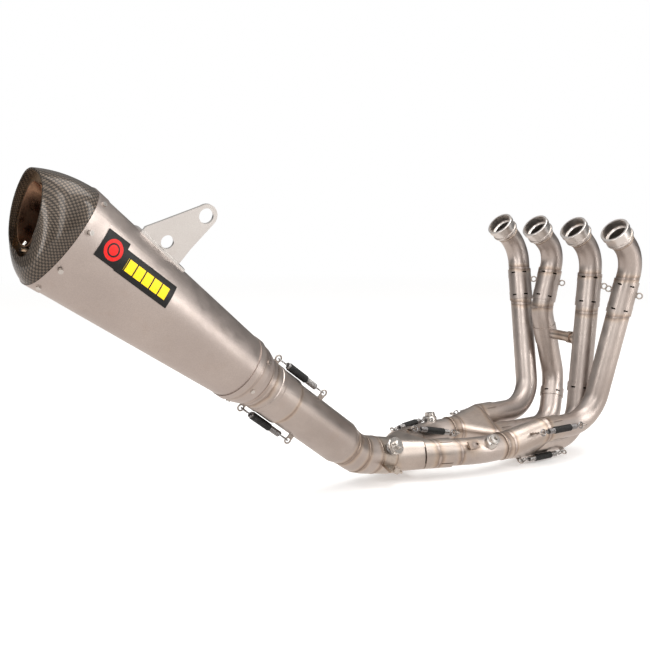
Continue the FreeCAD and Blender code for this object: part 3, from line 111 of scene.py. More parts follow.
# ------------------------------------------------------------ shader building
class Shader:
    """A node material that is built up step by step."""

    def __init__(self, name):
        self.material = bpy.data.materials.new(name)
        self.material.use_nodes = True
        self.tree = self.material.node_tree
        self.tree.nodes.clear()
        self.output = self.tree.nodes.new("ShaderNodeOutputMaterial")
        self.place = self.tree.nodes.new("ShaderNodeTexCoord").outputs["Object"]

    def node(self, kind, settings=None, **inputs):
        made = self.tree.nodes.new("ShaderNode" + kind)
        for key, value in (settings or {}).items():
            setattr(made, key, value)
        for key, value in inputs.items():
            name = int(key[1:]) if key[0] == "i" and key[1:].isdigit() else key.replace("_", " ")
            self.feed(made.inputs[name], value)
        return made

    def feed(self, socket, value):
        if isinstance(value, bpy.types.NodeSocket):
            self.tree.links.new(value, socket)
        else:
            socket.default_value = value

    def math(self, operation, a, b=0.0):
        made = self.node("Math", {"operation": operation}, i0=a, i1=b)
        return made.outputs[0]

    def dot(self, direction, origin):
        """Signed distance in metres along a direction from an origin."""
        moved = self.node("VectorMath", {"operation": "SUBTRACT"}, i0=self.place, i1=tuple(origin))
        made = self.node("VectorMath", {"operation": "DOT_PRODUCT"}, i0=moved.outputs[0], i1=tuple(direction))
        return made.outputs["Value"]

    def distance(self, point):
        made = self.node("VectorMath", {"operation": "DISTANCE"}, i0=self.place, i1=tuple(point))
        return made.outputs["Value"]

    def noise(self, scale, detail=3.0, stretch=None, roughness=0.55):
        vector = self.place
        if stretch:
            vector = self.node("VectorMath", {"operation": "MULTIPLY"}, i0=vector, i1=stretch).outputs[0]
        made = self.node("TexNoise", None, Vector=vector, Scale=scale, Detail=detail, Roughness=roughness)
        return made.outputs["Fac"]

    def spread(self, value, low, high, to_low, to_high):
        made = self.node("MapRange", {"clamp": True}, Value=value)
        for name, number in (("From Min", low), ("From Max", high), ("To Min", to_low), ("To Max", to_high)):
            made.inputs[name].default_value = number
        return made.outputs["Result"]

    def ramp(self, value, stops):
        made = self.node("ValToRGB", None, Fac=value)
        ramp = made.color_ramp
        while len(ramp.elements) < len(stops):
            ramp.elements.new(0.5)
        for element, (position, colour) in zip(ramp.elements, stops):
            element.position = position
            element.color = (*colour, 1.0)
        return made.outputs["Color"]

    @staticmethod
    def solid(colour):
        """A plain colour with its alpha, or the socket that it already is."""
        return colour if isinstance(colour, bpy.types.NodeSocket) else (*colour, 1.0)

    def mix(self, share, a, b):
        made = self.node("Mix", {"data_type": "RGBA", "blend_type": "MIX"})
        self.feed(made.inputs[0], share)
        self.feed(made.inputs[6], self.solid(a))
        self.feed(made.inputs[7], self.solid(b))
        return made.outputs[2]

    def bump(self, height, strength, distance=0.0004):
        made = self.node("Bump", None, Height=height, Strength=strength, Distance=distance)
        return made.outputs["Normal"]

    def finish(self, colour, roughness, normal, metallic=1.0, **extra):
        shader = self.node("BsdfPrincipled")
        self.feed(shader.inputs["Base Color"], self.solid(colour))
        self.feed(shader.inputs["Roughness"], roughness)
        self.feed(shader.inputs["Metallic"], metallic)
        self.feed(shader.inputs["Normal"], normal)
        for key, value in extra.items():
            self.feed(shader.inputs[key.replace("_", " ")], value)
        self.tree.links.new(shader.outputs[0], self.output.inputs["Surface"])
        return self.material


# ------------------------------------------------------------ heat tint of welded titanium
def nearest(shader, spots, planes):
    """Smallest of several distances, each as a share of its own reach."""
    best = None
    for point, reach in spots:
        share = shader.math("DIVIDE", shader.distance(point), reach)
        best = share if best is None else shader.math("MINIMUM", best, share)
    for direction, origin, reach in planes:
        away = shader.math("ABSOLUTE", shader.dot(direction, origin))
        share = shader.math("DIVIDE", away, reach)
        best = share if best is None else shader.math("MINIMUM", best, share)
    return best


# share of the reach from a weld, and the colour or the strength of the tint there
HEAT_STOPS = [
    (0.0, (0.46, 0.38, 0.33)), (0.14, (0.13, 0.095, 0.080)), (0.34, (0.34, 0.235, 0.165)),
    (0.60, (0.52, 0.41, 0.31)), (1.0, (0.56, 0.49, 0.43))]
HEAT_FADE = [(0.0, (1, 1, 1)), (0.45, (0.85, 0.85, 0.85)), (1.0, (0, 0, 0))]
HEAT_STRENGTH = 0.62
STAIN_BROWN = (0.36, 0.26, 0.19)
# black painted on the header tubes under the weld slots: painted shade in the slots, partly dark oxide
SLOT_SHADE_OXIDE_BLACK = (0.010, 0.008, 0.007)
SLOT_BAND_REACH = 0.026
DEEPER = 0.72


def darker(colour):
    """The same hue in a deeper tone."""
    return tuple(c * DEEPER for c in colour)


def titanium(name, light, dark, spots=(), planes=(), grain=(1, 1, 1), rough=(0.22, 0.38), tint=1.0, soot_and_slot_shade=()):
    """Brushed titanium with soft tone changes, fine grain and straw to brown heat tint near its welds; where
    slot bands are given, the tube under the weld slots is painted black, as painted shade and partly dark
    oxide.
    """
    shader = Shader(name)
    cloud = shader.noise(9.0, 4.0)
    streak = shader.noise(420.0, 2.0, grain)
    fine = shader.noise(2600.0, 2.0)
    tone = shader.mix(shader.spread(cloud, 0.35, 0.68, 0.0, 1.0), dark, light)
    tone = shader.mix(shader.spread(streak, 0.35, 0.65, 0.0, 0.35), tone, darker(dark))
    stain = shader.noise(38.0, 5.0, None, 0.65)
    tone = shader.mix(shader.spread(stain, 0.56, 0.78, 0.0, 0.16), tone, STAIN_BROWN)
    if spots or planes:
        share = nearest(shader, spots, planes)
        share = shader.math("ADD", share, shader.spread(stain, 0.3, 0.7, -0.22, 0.22))
        strength = shader.ramp(share, HEAT_FADE)
        heat = shader.ramp(share, HEAT_STOPS)
        amount = shader.math("MULTIPLY", strength, HEAT_STRENGTH * tint)
        tone = shader.mix(amount, tone, heat)
    # painted shade with some dark oxide: a black band on the tube under each ring of weld slots
    for direction, centre, half in soot_and_slot_shade:
        level = shader.math("ABSOLUTE", shader.dot(direction, centre))
        close = shader.math("LESS_THAN", shader.distance(centre), SLOT_BAND_REACH)
        shaded_slot_band = shader.math("MULTIPLY", shader.math("LESS_THAN", level, half), close)
        tone = shader.mix(shaded_slot_band, tone, SLOT_SHADE_OXIDE_BLACK)
    gloss = shader.spread(shader.noise(60.0, 3.0), 0.3, 0.7, rough[0], rough[1])
    return shader.finish(tone, gloss, shader.bump(fine, 0.05, 0.00005))


def turned(name, colour, direction, origin, pitch, rough=0.16):
    """Bright lathe-turned metal: fine rings along a direction."""
    shader = Shader(name)
    travel = shader.dot(direction, origin)
    wave = shader.math("SINE", shader.math("MULTIPLY", travel, 2 * math.pi / pitch))
    speck = shader.noise(900.0, 2.0)
    tone = shader.mix(shader.spread(speck, 0.4, 0.7, 0.0, 0.25), colour, darker(colour))
    patch = shader.noise(45.0, 4.0)
    tone = shader.mix(shader.spread(patch, 0.58, 0.72, 0.0, 0.35), tone, (0.52, 0.40, 0.28))
    gloss = shader.spread(patch, 0.3, 0.7, rough, rough + 0.14)
    return shader.finish(tone, gloss, shader.bump(wave, 0.08, 0.0002))


def silencer_polar(shader):
    """Distance along the silencer and the two directions across it, in metres."""
    return shader.dot(AXIS, BEND), shader.dot(SIDE, BEND), shader.dot(TALL, BEND)


CAP_RADIUS = 0.056
TOW_WIDTH = 0.0026
KEEP_POSITIVE = 400.0


def carbon():
    """Clear-coated plain weave: two tows of dark fibre that cross over and under each other, with a painted
    highlight on the tows that run one way and painted shade at the edges of every tow.
    """
    shader = Shader("carbon_weave")
    travel, out, high = silencer_polar(shader)
    angle = shader.math("ARCTAN2", high, out)
    around = shader.math("MULTIPLY", angle, CAP_RADIUS)
    across = shader.math("DIVIDE", around, TOW_WIDTH)
    lengthwise = shader.math("DIVIDE", travel, TOW_WIDTH)
    step = shader.math("ADD", shader.math("FLOOR", across), shader.math("FLOOR", lengthwise))
    phase = shader.math("MODULO", shader.math("ADD", step, 10 * KEEP_POSITIVE), 2.0)
    over = shader.math("LESS_THAN", phase, 0.5)
    across_share = shader.math("FRACT", shader.math("ADD", across, KEEP_POSITIVE))
    hump_a = shader.math("SINE", shader.math("MULTIPLY", across_share, math.pi))
    hump_b = shader.math("SINE", shader.math("MULTIPLY", shader.math("FRACT", lengthwise), math.pi))
    blend = shader.node("Mix", {"data_type": "FLOAT"})
    shader.feed(blend.inputs[0], over)
    shader.feed(blend.inputs[2], hump_a)
    shader.feed(blend.inputs[3], hump_b)
    hump = blend.outputs[0]
    fibre = shader.noise(3000.0, 2.0)
    # painted highlight: tows that run one way are golden brown, the others near black
    tow_highlight_tone = shader.mix(over, (0.014, 0.011, 0.009), (0.120, 0.092, 0.070))
    # painted shade: each tow darkens to near black at its edges, in the creases of the weave
    tone = shader.mix(shader.spread(hump, 0.0, 0.6, 0.75, 0.0), tow_highlight_tone, (0.006, 0.005, 0.005))
    tone = shader.mix(shader.spread(fibre, 0.4, 0.7, 0.0, 0.3), tone, (0.16, 0.13, 0.10))
    normal = shader.bump(hump, 0.35, 0.0003)
    gloss = shader.spread(fibre, 0.3, 0.7, 0.30, 0.46)
    return shader.finish(tone, gloss, normal, 0.7, Coat_Weight=0.45, Coat_Roughness=0.09)


BLACK_ENAMEL = (0.008, 0.008, 0.008)
RED_ENAMEL = (0.62, 0.012, 0.01)
YELLOW_ENAMEL = (0.86, 0.60, 0.01)
DISC_BACK, DISC_HIGH = 0.5305, 0.025
DISC_RADIUS = 0.0125
DISC_RING = (0.0062, 0.0082)
BAR_BACK = (0.441, 0.508)
BAR_HIGH = (0.0135, 0.0285)
BAR_STEP = 0.0134
BAR_GAP = 0.14


def badge():
    """Black enamel plate with a red disc, ringed in black, and a row of yellow blocks."""
    shader = Shader("badge_enamel")
    travel, _, high = silencer_polar(shader)

    def inside(value, low, high_limit):
        above = shader.math("GREATER_THAN", value, low)
        return shader.math("MULTIPLY", above, shader.math("LESS_THAN", value, high_limit))

    back_square = shader.math("POWER", shader.math("SUBTRACT", travel, DISC_BACK), 2.0)
    high_square = shader.math("POWER", shader.math("SUBTRACT", high, DISC_HIGH), 2.0)
    reach = shader.math("SQRT", shader.math("ADD", back_square, high_square))
    disc = shader.math("LESS_THAN", reach, DISC_RADIUS)
    ring = inside(reach, *DISC_RING)
    bar = shader.math("MULTIPLY", inside(travel, *BAR_BACK), inside(high, *BAR_HIGH))
    bar_place = shader.math("MULTIPLY", shader.math("ADD", travel, 2.0), 1 / BAR_STEP)
    groove = inside(shader.math("FRACT", bar_place), 0.0, BAR_GAP)
    bar = shader.math("MULTIPLY", bar, shader.math("SUBTRACT", 1.0, groove))
    speck = shader.noise(500.0, 3.0)
    tone = shader.mix(shader.spread(speck, 0.5, 0.7, 0.0, 0.3), BLACK_ENAMEL, (0.02, 0.02, 0.02))
    tone = shader.mix(disc, tone, RED_ENAMEL)
    tone = shader.mix(ring, tone, BLACK_ENAMEL)
    tone = shader.mix(bar, tone, YELLOW_ENAMEL)
    gloss = shader.spread(speck, 0.3, 0.7, 0.28, 0.40)
    return shader.finish(tone, gloss, shader.bump(speck, 0.04), 0.0, Specular_IOR_Level=0.22)


def rubber():
    """Matt black rubber with a dusty bloom."""
    shader = Shader("spring_rubber_black")
    dust = shader.noise(220.0, 4.0)
    fine = shader.noise(1800.0, 2.0)
    tone = shader.mix(shader.spread(dust, 0.5, 0.75, 0.0, 0.5), (0.010, 0.010, 0.010), (0.045, 0.042, 0.040))
    return shader.finish(tone, shader.spread(dust, 0.3, 0.7, 0.38, 0.55), shader.bump(fine, 0.15), 0.0,
                         Specular_IOR_Level=0.25)


def wool():
    """Pale mineral wool."""
    shader = Shader("packing_wool_pale")
    strand = shader.noise(260.0, 6.0, (1, 1, 4))
    tone = shader.mix(strand, (0.55, 0.50, 0.38), (0.86, 0.82, 0.70))
    return shader.finish(tone, 0.9, shader.bump(strand, 0.6, 0.002), 0.0)


def scorched(name, light, dark):
    """Heat-coloured steel inside the outlet: copper, straw and soot in soft patches."""
    shader = Shader(name)
    cloud = shader.noise(30.0, 5.0)
    soot_and_slot_shade = shader.noise(75.0, 5.0)
    streak = shader.noise(500.0, 2.0, (1, 1, 3))
    tone = shader.mix(shader.spread(cloud, 0.35, 0.65, 0.0, 1.0), dark, light)
    tone = shader.mix(shader.spread(soot_and_slot_shade, 0.5, 0.72, 0.0, 0.6), tone, (0.05, 0.035, 0.028))
    return shader.finish(tone, shader.spread(soot_and_slot_shade, 0.3, 0.7, 0.2, 0.42), shader.bump(streak, 0.10))


# ------------------------------------------------------------ where the welds are
coupling_low, coupling_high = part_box("header_coupling_4")
UP = Vector((0, 0, 1))
BACK = Vector((-1, 0, 0))
collector_low, collector_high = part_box("collector_right")
link_low, link_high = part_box("link_collector")
header_spots = [(mouth + MOUTH_IN * 0.028, 0.016) for mouth in MOUTHS]
header_planes = [
    (UP, (0, 0, coupling_low.z), 0.010),
    (UP, (0, 0, coupling_high.z), 0.010),
    (BACK, (collector_low.x, 0, 0), 0.012),
    (BACK, (link_high.x, 0, 0), 0.010)]
for name in ("balance_tube", "balance_sleeve", "lambda_bosses", "secondary_tab"):
    low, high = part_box(name)
    header_spots.append(((low + high) / 2, 0.026))
for name in ("header_hooks_outer_left", "header_hooks_outer_right"):
    low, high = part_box(name)
    header_spots.append((Vector(((low.x + high.x) / 2, (low.y + high.y) / 2, low.z)), 0.016))
collector_planes = [
    (BACK, (collector_low.x, 0, 0), 0.016),
    (BACK, (collector_low.x + 0.016, 0, 0), 0.008),
    (BACK, (collector_high.x - 0.034, 0, 0), 0.014),
    (BACK, (link_low.x, 0, 0), 0.018),
    (BACK, (link_high.x - 0.036, 0, 0), 0.012)]
VALVE_AXIS = (BEND - VALVE).normalized()
housing_back = VALVE + VALVE_AXIS * (HOUSING / 2 * MM)
housing_front = VALVE - VALVE_AXIS * (HOUSING / 2 * MM)
link_planes = [
    (AXIS, along_silencer(LINK_SEAM), 0.011),
    (AXIS, along_silencer(LINK_RIB), 0.007),
    (AXIS, along_silencer(SLIP_SEAM), 0.010),
    ((AXIS + VALVE_AXIS).normalized(), BEND, 0.009),
    (VALVE_AXIS, housing_back, 0.009)]
valve_planes = [(VALVE_AXIS, housing_back, 0.008), (VALVE_AXIS, housing_front, 0.008)]
silencer_planes = [(AXIS, along_silencer(CONE_START), 0.012), (AXIS, along_silencer(CONE_END), 0.006)]


def loose_parts(node_name):
    """Points of each separate solid of a node."""
    mesh = NODES[node_name].data
    keys = {}
    owner = []
    for vertex in mesh.vertices:
        key = tuple(round(c, 6) for c in vertex.co)
        owner.append(keys.setdefault(key, len(keys)))
    parent = list(range(len(keys)))

    def root(i):
        while parent[i] != i:
            parent[i] = parent[parent[i]]
            i = parent[i]
        return i
    for edge in mesh.edges:
        a, b = (root(owner[v]) for v in edge.vertices)
        parent[a] = b
    groups = {}
    for key, index in keys.items():
        groups.setdefault(root(index), []).append(key)
    return [np.array(points) for points in groups.values()]


SLOT_BAND = 0.0036
BAND_HALF = 0.0075
LONG_SLEEVE = 0.040


def slot_rings(node_name):
    """Axis, centre and half width of each ring of weld slots in the sleeves of a node."""
    rings = []
    for points in loose_parts(node_name):
        centre = Vector(points.min(0) + points.max(0)) / 2
        spans = np.linalg.svd(points - points.mean(0), full_matrices=False)[2]
        size = points.max(0) - points.min(0)
        long_sleeve = size[2] > LONG_SLEEVE
        axis = Vector(spans[0 if long_sleeve else 2]).normalized()
        reach = (points - points.mean(0)) @ np.array(axis)
        half = float(reach.max() - reach.min()) / 2
        for shift in ((half - BAND_HALF, BAND_HALF - half) if long_sleeve else (0.0,)):
            rings.append((axis, centre + axis * shift, SLOT_BAND))
    return rings


# bands under the weld slots, painted black on the header tubes as shade and partly dark oxide
outer_slots = slot_rings("header_coupling_1") + slot_rings("header_coupling_4")
inner_slots = slot_rings("header_couplings_inner")

GREY = (0.57, 0.505, 0.465)
SHADE = (0.42, 0.365, 0.335)
HEADER_GRAIN = (3, 3, 0.3)
HEADER_ROUGH = (0.32, 0.46)


def header_finish(name, soot_and_slot_shade=()):
    return titanium(name, GREY, SHADE, header_spots, header_planes, HEADER_GRAIN, HEADER_ROUGH, soot_and_slot_shade=soot_and_slot_shade)


MATERIALS = {
    "socket_turned": turned("socket_bright", (0.70, 0.66, 0.63), MOUTH_IN, MOUTHS[0], 0.0007, 0.26),
    "header_titanium": header_finish("header_brushed"),
    "collector_titanium": titanium("collector_brushed", (0.58, 0.51, 0.46), (0.42, 0.36, 0.32), (),
                                   collector_planes, (0.3, 3, 3), (0.30, 0.44)),
    "hook_steel": titanium("hook_wire", (0.50, 0.46, 0.43), (0.32, 0.28, 0.25), rough=(0.2, 0.4)),
    "spring_steel": titanium("spring_wire", (0.46, 0.45, 0.44), (0.26, 0.25, 0.25), rough=(0.2, 0.36)),
    "spring_rubber": rubber(),
    "boss_steel": turned("boss_machined", (0.56, 0.53, 0.50), SHAFT, VALVE, 0.0009, 0.2),
    "valve_cast": titanium("valve_body", (0.58, 0.53, 0.48), (0.40, 0.34, 0.29), (), valve_planes, (1, 1, 1),
                           (0.28, 0.45)),
    "valve_machined": turned("valve_turned", (0.60, 0.57, 0.54), SHAFT, VALVE, 0.0008, 0.18),
    "link_titanium": titanium("link_brushed", GREY, SHADE, (), link_planes, (3, 3, 3), (0.32, 0.45)),
    "silencer_titanium": titanium("silencer_satin", (0.52, 0.455, 0.42), (0.46, 0.40, 0.37),
                                  (), silencer_planes, (2, 2, 2), (0.34, 0.44), 0.5),
    "core_steel": scorched("outlet_scorched", (0.60, 0.36, 0.22), (0.30, 0.17, 0.11)),
    "packing_wool": wool(),
    "carbon_cap": carbon(),
    "badge_black": badge(),
}
hanger_finish = titanium("hanger_polished", (0.74, 0.72, 0.70), (0.68, 0.66, 0.64), (), (), (3, 1, 3),
                         (0.30, 0.38))
bead_finish = titanium("weld_bead", (0.50, 0.42, 0.36), (0.30, 0.23, 0.18), (), (), (1, 1, 1), (0.24, 0.4))
outer_tube_finish = header_finish("header_brushed_outer", outer_slots)
inner_tube_finish = header_finish("header_brushed_inner", inner_slots)
plate_finish = scorched("outlet_plate_tinted", (0.66, 0.52, 0.38), (0.42, 0.29, 0.19))


def dress(thing, material):
    """Give a mesh one material in every slot."""
    if not thing.material_slots:
        thing.data.materials.append(material)
    for holder in thing.material_slots:
        holder.material = material


for entry in RECORD["subparts"]:
    dress(NODES[entry["node"]], MATERIALS[entry["material_slot"]])
for number in (1, 4):
    dress(NODES["header_tube_%d" % number], outer_tube_finish)
for number in (2, 3):
    dress(NODES["header_tube_%d" % number], inner_tube_finish)
dress(NODES["silencer_hanger"], hanger_finish)
dress(NODES["silencer_outlet_plate"], plate_finish)


# ------------------------------------------------------------ pieces made here
def piece(name, vertices, faces, body, material):
    """Smooth-shaded piece that rides on a body; without a body it is left on its own."""
    mesh = bpy.data.meshes.new(name)
    mesh.from_pydata([tuple(v) for v in vertices], [], faces)
    mesh.polygons.foreach_set("use_smooth", [True] * len(mesh.polygons))
    mesh.materials.append(material)
    made = bpy.data.objects.new(name, mesh)
    bpy.context.scene.collection.objects.link(made)
    if body:
        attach(made, body)
    return made


def basis(axis):
    """Two directions square to an axis."""
    hint = Vector((0, 0, 1)) if abs(axis.z) < 0.9 else Vector((1, 0, 0))
    first = (hint - axis * hint.dot(axis)).normalized()
    return first, axis.cross(first)


def ring_mesh(rows):
    """Vertices and quads of a grid that closes on itself in both directions."""
    vertices = [vertex for row in rows for vertex in row]
    around = len(rows)
    deep = len(rows[0])
    faces = []
    for i in range(around):
        for j in range(deep):
            a = i * deep + j
            b = i * deep + (j + 1) % deep
            c = (i + 1) % around * deep + (j + 1) % deep
            d = (i + 1) % around * deep + j
            faces.append((a, d, c, b))
    return vertices, faces


RIPPLE_STEPS = 4
BEAD_SIDES = 8
SOCKET_SEAM = 0.0275      # from the mouth of a socket to its weld
SECONDARY_HALF = 0.021    # half the outside diameter of a secondary
BEND_SHIFT = 0.00137      # from the corner of the bend to the middle of its seam


def weld_bead(name, centre, axis, radius, body, high, wide, ripples):
    """Rippled weld bead round a tube; radius, height and width are in millimetres."""
    first, second = basis(axis)
    steps = ripples * RIPPLE_STEPS
    rows = []
    for i in range(steps):
        angle = 2 * math.pi * i / steps
        out = first * math.cos(angle) + second * math.sin(angle)
        saw = (i % RIPPLE_STEPS) / RIPPLE_STEPS
        wave = 1.0 + 0.28 * math.sin(math.pi * saw) + 0.10 * math.sin(angle * 7.0)
        drift = 0.35 * math.sin(angle * 5.0)
        row = []
        for j in range(BEAD_SIDES):
            turn = 2 * math.pi * j / BEAD_SIDES
            row.append(centre + out * (radius + high * wave * math.cos(turn)) * MM
                       + axis * (wide * wave * math.sin(turn) * 0.5 + drift) * MM)
        rows.append(row)
    vertices, faces = ring_mesh(rows)
    return piece(name, vertices, faces, body, bead_finish)


for number, mouth in enumerate(MOUTHS, start=1):
    weld_bead("weld_socket_%d" % number, mouth + MOUTH_IN * SOCKET_SEAM, MOUTH_IN, SOCKET_NECK_RADIUS,
              HEADER_BODY[number], 0.9, 2.4, 60)
bend_normal = (AXIS + VALVE_AXIS).normalized()
bend_middle = BEND + (AXIS - VALVE_AXIS).normalized() * BEND_SHIFT
for name, centre, axis, radius, body, slot, high, wide, ripples in (
        ("link_seam", along_silencer(LINK_SEAM), AXIS, BEND_TUBE, "manifold", "link_titanium", 0.5, 2.2, 90),
        ("housing_back", housing_back, VALVE_AXIS, HOUSING_BACK_RADIUS, "manifold", "link_titanium",
         0.55, 2.4, 90),
        ("housing_front", housing_front, VALVE_AXIS, HOUSING_FRONT_RADIUS, "manifold", "collector_titanium",
         0.7, 2.4, 84),
        ("bend_middle", bend_middle, bend_normal, BEND_TUBE, "manifold", "link_titanium", 0.4, 2.2, 90),
        ("slip_cone", along_silencer(SLIP_SEAM), AXIS, SLIP_RADIUS, "silencer", "link_titanium",
         0.6, 2.2, 110)):
    weld_bead("weld_" + name, centre, axis, radius, body, high, wide, ripples)
for side in ("left", "right"):
    low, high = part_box("collector_" + side)
    tail_low, tail_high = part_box("secondary_" + side)
    middle_z = (tail_low.z + tail_high.z) / 2
    inner_y = tail_high.y - SECONDARY_HALF if side == "left" else tail_low.y + SECONDARY_HALF
    weld_bead("weld_collector_" + side, Vector((low.x, inner_y, middle_z)), Vector((1, 0, 0)),
              COLLECTOR_NECK_RADIUS, "manifold", 0.9, 2.6, 70)


def twin_spring(node_name, name):
    """Copy of a node of springs that takes the place of the node."""
    source = NODES[node_name]
    made = bpy.data.objects.new(name, source.data.copy())
    bpy.context.scene.collection.objects.link(made)
    dress(made, MATERIALS["spring_steel"])
    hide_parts(node_name)
    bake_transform(made)


for node_name, body in (("header_spring_outer_left", "header_outer_left"),
                        ("header_springs_inner", "headers_inner"),
                        ("header_spring_outer_right", "header_outer_right")):
    low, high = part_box(node_name)
    twin_spring(node_name, node_name.replace("header_", "stretch_"))
twin_spring("silencer_springs", "stretch_silencer_springs")


SLEEVE_ROWS = 72
SLEEVE_SIDES = 40
RIBS = 13
RIB_DEPTH = 0.0008
RIB_MARGIN = 0.0009
ROLLED_SHARE = 0.07
THIN_END = 0.35
BORE = SPRING_RADIUS * MM


def ribbed_sleeve(points):
    """Ribbed rubber sleeve with rolled ends, in the place of a plain one; returns its mesh data."""
    centre = Vector(points.min(0) + points.max(0)) / 2
    spans = np.linalg.svd(points - points.mean(0), full_matrices=False)[2]
    axis = Vector(spans[0]).normalized()
    reach = (points - np.array(centre)) @ np.array(axis)
    half = float(reach.max())
    outer = float(np.linalg.norm((points - np.array(centre)) - np.outer(reach, np.array(axis)), axis=1).max())
    first, second = basis(axis)
    profile = []
    for i in range(SLEEVE_ROWS + 1):
        s = -1 + 2 * i / SLEEVE_ROWS
        rib = 0.5 + 0.5 * math.cos(s * math.pi * RIBS)
        into_end = max(0.0, (abs(s) - (1 - ROLLED_SHARE)) / ROLLED_SHARE)
        rolled = math.sqrt(max(0.0, 1 - into_end ** 2))
        radius = (outer - RIB_MARGIN) + RIB_DEPTH * rib
        radius = BORE + (radius - BORE) * (THIN_END + (1 - THIN_END) * rolled)
        profile.append((radius, s * half * 0.995))
    profile += [(BORE, half * 0.98), (BORE, -half * 0.98)]
    rows = []
    for i in range(SLEEVE_SIDES):
        angle = 2 * math.pi * i / SLEEVE_SIDES
        out = first * math.cos(angle) + second * math.sin(angle)
        rows.append([centre + out * r + axis * s for r, s in profile])
    return ring_mesh(rows)


def sleeve_set(node_name, name, body):
    """One piece with a ribbed sleeve for every plain sleeve of a node."""
    vertices, faces = [], []
    for points in loose_parts(node_name):
        more_vertices, more_faces = ribbed_sleeve(points)
        shift = len(vertices)
        vertices += more_vertices
        faces += [tuple(i + shift for i in face) for face in more_faces]
    made = piece(name, vertices, faces, body, MATERIALS["spring_rubber"])
    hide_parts(node_name)
    return made


sleeve_set("spring_sleeves", "ribbed_sleeves", "manifold")
silencer_sleeves = sleeve_set("silencer_spring_sleeves", "ribbed_silencer_sleeves", None)
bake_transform(silencer_sleeves)


# ------------------------------------------------------------ floor, light and camera
VIEW_FROM = Vector((-1.285, -1.3325, 0.083))
VIEW_YAW = math.radians(34.1)
VIEW_DIP = math.radians(8.4)
VIEW_LENS = 55.385
VIEW_SENSOR = 36.0
flat = math.cos(VIEW_DIP)
looking = Vector((math.sin(VIEW_YAW) * flat, math.cos(VIEW_YAW) * flat, -math.sin(VIEW_DIP)))
rightward = Vector((math.cos(VIEW_YAW), -math.sin(VIEW_YAW), 0))
upward = rightward.cross(looking)

FLOOR_GAP = 0.004
FLOOR_REACH = 6.0
FLOOR_WHITE = (1.6, 3.4)
FLOOR_LIFT = 0.22
FLOOR_MIRRORED = 1.05


def floor():
    """Pale floor that turns pure white far out and looks dimmer and warmer in the metal."""
    z = cad_low.z - FLOOR_GAP
    size = FLOOR_REACH
    mesh = bpy.data.meshes.new("floor")
    corners = [(-size, -size, z), (size, -size, z), (size, size, z), (-size, size, z)]
    mesh.from_pydata(corners, [], [(0, 1, 2, 3)])
    made = bpy.data.objects.new("floor", mesh)
    bpy.context.scene.collection.objects.link(made)
    shader = Shader("floor_pale")
    middle = (cad_low + cad_high) / 2
    near = shader.spread(shader.distance((middle.x, middle.y, z)), *FLOOR_WHITE, 0.0, 1.0)
    pale = shader.node("BsdfDiffuse", None, Color=(0.93, 0.93, 0.93, 1))
    glow = shader.node("Emission", None, Color=(1, 1, 1, 1), Strength=1.0)
    lift = shader.node("Emission", None, Color=(1, 1, 1, 1), Strength=FLOOR_LIFT)
    lifted = shader.node("AddShader")
    shader.tree.links.new(pale.outputs[0], lifted.inputs[0])
    shader.tree.links.new(lift.outputs[0], lifted.inputs[1])
    blend = shader.node("MixShader", None, Fac=near)
    mirrored = shader.node("LightPath").outputs["Is Glossy Ray"]
    dull = shader.node("Emission", None, Color=(1, 0.93, 0.88, 1), Strength=FLOOR_MIRRORED)
    seen = shader.node("MixShader", None, Fac=mirrored)
    shader.tree.links.new(lifted.outputs[0], seen.inputs[1])
    shader.tree.links.new(dull.outputs[0], seen.inputs[2])
    shader.tree.links.new(seen.outputs[0], blend.inputs[1])
    shader.tree.links.new(glow.outputs[0], blend.inputs[2])
    shader.tree.links.new(blend.outputs[0], shader.output.inputs["Surface"])
    dress(made, shader.material)
    made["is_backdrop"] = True


# height in the studio, from straight down to straight up, and its brightness
STUDIO_STOPS = [
    (0.0, 0.55), (0.40, 0.34), (0.48, 0.13), (0.58, 0.20), (0.72, 0.95), (0.86, 1.25), (1.0, 0.80)]
STUDIO_TINT = (0.99, 0.975, 0.96)
LIGHT_TINT = (1.0, 0.98, 0.96)


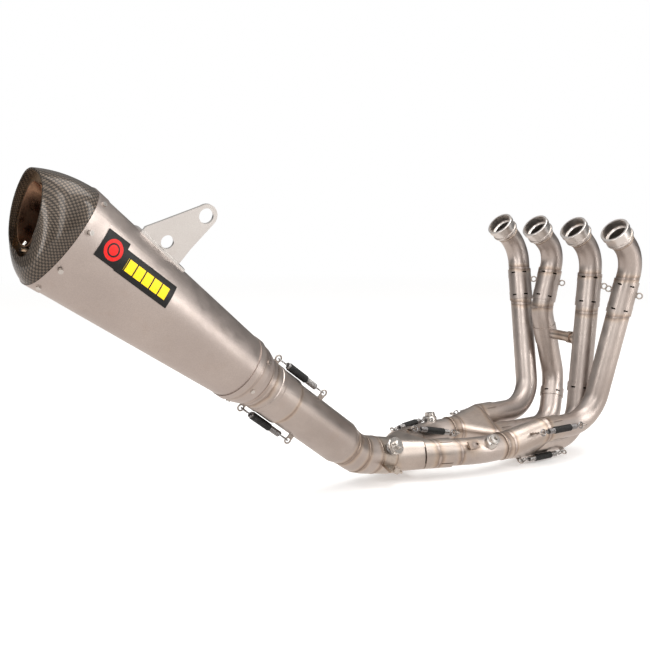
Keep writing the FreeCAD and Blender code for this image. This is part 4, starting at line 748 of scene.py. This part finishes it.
def studio_world():
    """White to the camera; to reflections and light a soft studio with a bright ceiling and dark flags."""
    world = bpy.data.worlds.new("studio")
    bpy.context.scene.world = world
    world.use_nodes = True
    tree = world.node_tree
    tree.nodes.clear()
    output = tree.nodes.new("ShaderNodeOutputWorld")
    place = tree.nodes.new("ShaderNodeTexCoord").outputs["Generated"]
    split = tree.nodes.new("ShaderNodeSeparateXYZ")
    tree.links.new(place, split.inputs[0])
    height = tree.nodes.new("ShaderNodeValToRGB")
    raised = tree.nodes.new("ShaderNodeMath")
    raised.operation = "MULTIPLY_ADD"
    raised.inputs[1].default_value = 0.5
    raised.inputs[2].default_value = 0.5
    tree.links.new(split.outputs["Z"], raised.inputs[0])
    tree.links.new(raised.outputs[0], height.inputs["Fac"])
    ramp = height.color_ramp
    while len(ramp.elements) < len(STUDIO_STOPS):
        ramp.elements.new(0.5)
    for element, (position, level) in zip(ramp.elements, STUDIO_STOPS):
        element.position = position
        element.color = (*(level * share for share in STUDIO_TINT), 1)
    facing = tree.nodes.new("ShaderNodeVectorMath")
    facing.operation = "DOT_PRODUCT"
    facing.inputs[1].default_value = tuple(looking * -1)
    tree.links.new(place, facing.inputs[0])
    front = tree.nodes.new("ShaderNodeMapRange")
    for name, number in (("From Min", -0.5), ("From Max", 0.95), ("To Min", 0.42), ("To Max", 1.25)):
        front.inputs[name].default_value = number
    tree.links.new(facing.outputs["Value"], front.inputs["Value"])
    seen = tree.nodes.new("ShaderNodeLightPath").outputs["Is Camera Ray"]
    studio = tree.nodes.new("ShaderNodeBackground")
    tree.links.new(front.outputs["Result"], studio.inputs["Strength"])
    tree.links.new(height.outputs["Color"], studio.inputs["Color"])
    white = tree.nodes.new("ShaderNodeBackground")
    white.inputs["Color"].default_value = (1, 1, 1, 1)
    blend = tree.nodes.new("ShaderNodeMixShader")
    tree.links.new(seen, blend.inputs[0])
    tree.links.new(studio.outputs[0], blend.inputs[1])
    tree.links.new(white.outputs[0], blend.inputs[2])
    tree.links.new(blend.outputs[0], output.inputs["Surface"])


def soft_box(name, place, target, size, power):
    """Rectangular light, its size in metres and its power in watts, that faces a point."""
    light = bpy.data.lights.new(name, "AREA")
    light.shape = "RECTANGLE"
    light.size, light.size_y = size
    light.energy = power
    light.color = LIGHT_TINT
    made = bpy.data.objects.new(name, light)
    made.location = place
    made.rotation_mode = "QUATERNION"
    made.rotation_quaternion = (Vector(target) - Vector(place)).to_track_quat("-Z", "Y")
    bpy.context.scene.collection.objects.link(made)


floor()
studio_world()
CENTRE = (cad_low + cad_high) / 2
soft_box("key_above", CENTRE + Vector((0.25, -0.35, 1.6)), CENTRE, (1.6, 1.0), 18)
soft_box("strip_right", CENTRE + Vector((0.9, -1.4, 0.5)), CENTRE, (0.35, 1.6), 12)
soft_box("strip_left", CENTRE + Vector((-1.7, -0.2, 0.7)), CENTRE, (0.4, 1.4), 10)
soft_box("front", CENTRE - looking * 1.9 + Vector((0, 0, 0.45)), CENTRE, (0.5, 1.5), 9)

camera = bpy.data.objects.new("camera", bpy.data.cameras.new("camera"))
camera.data.lens = VIEW_LENS
camera.data.sensor_width = VIEW_SENSOR
camera.data.clip_end = 50.0
turn = Matrix((rightward, upward, looking * -1)).transposed()
camera.matrix_world = Matrix.Translation(VIEW_FROM) @ turn.to_4x4()
bpy.context.scene.collection.objects.link(camera)
bpy.context.scene.camera = camera
bpy.context.scene.view_settings.view_transform = "Standard"

low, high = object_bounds()
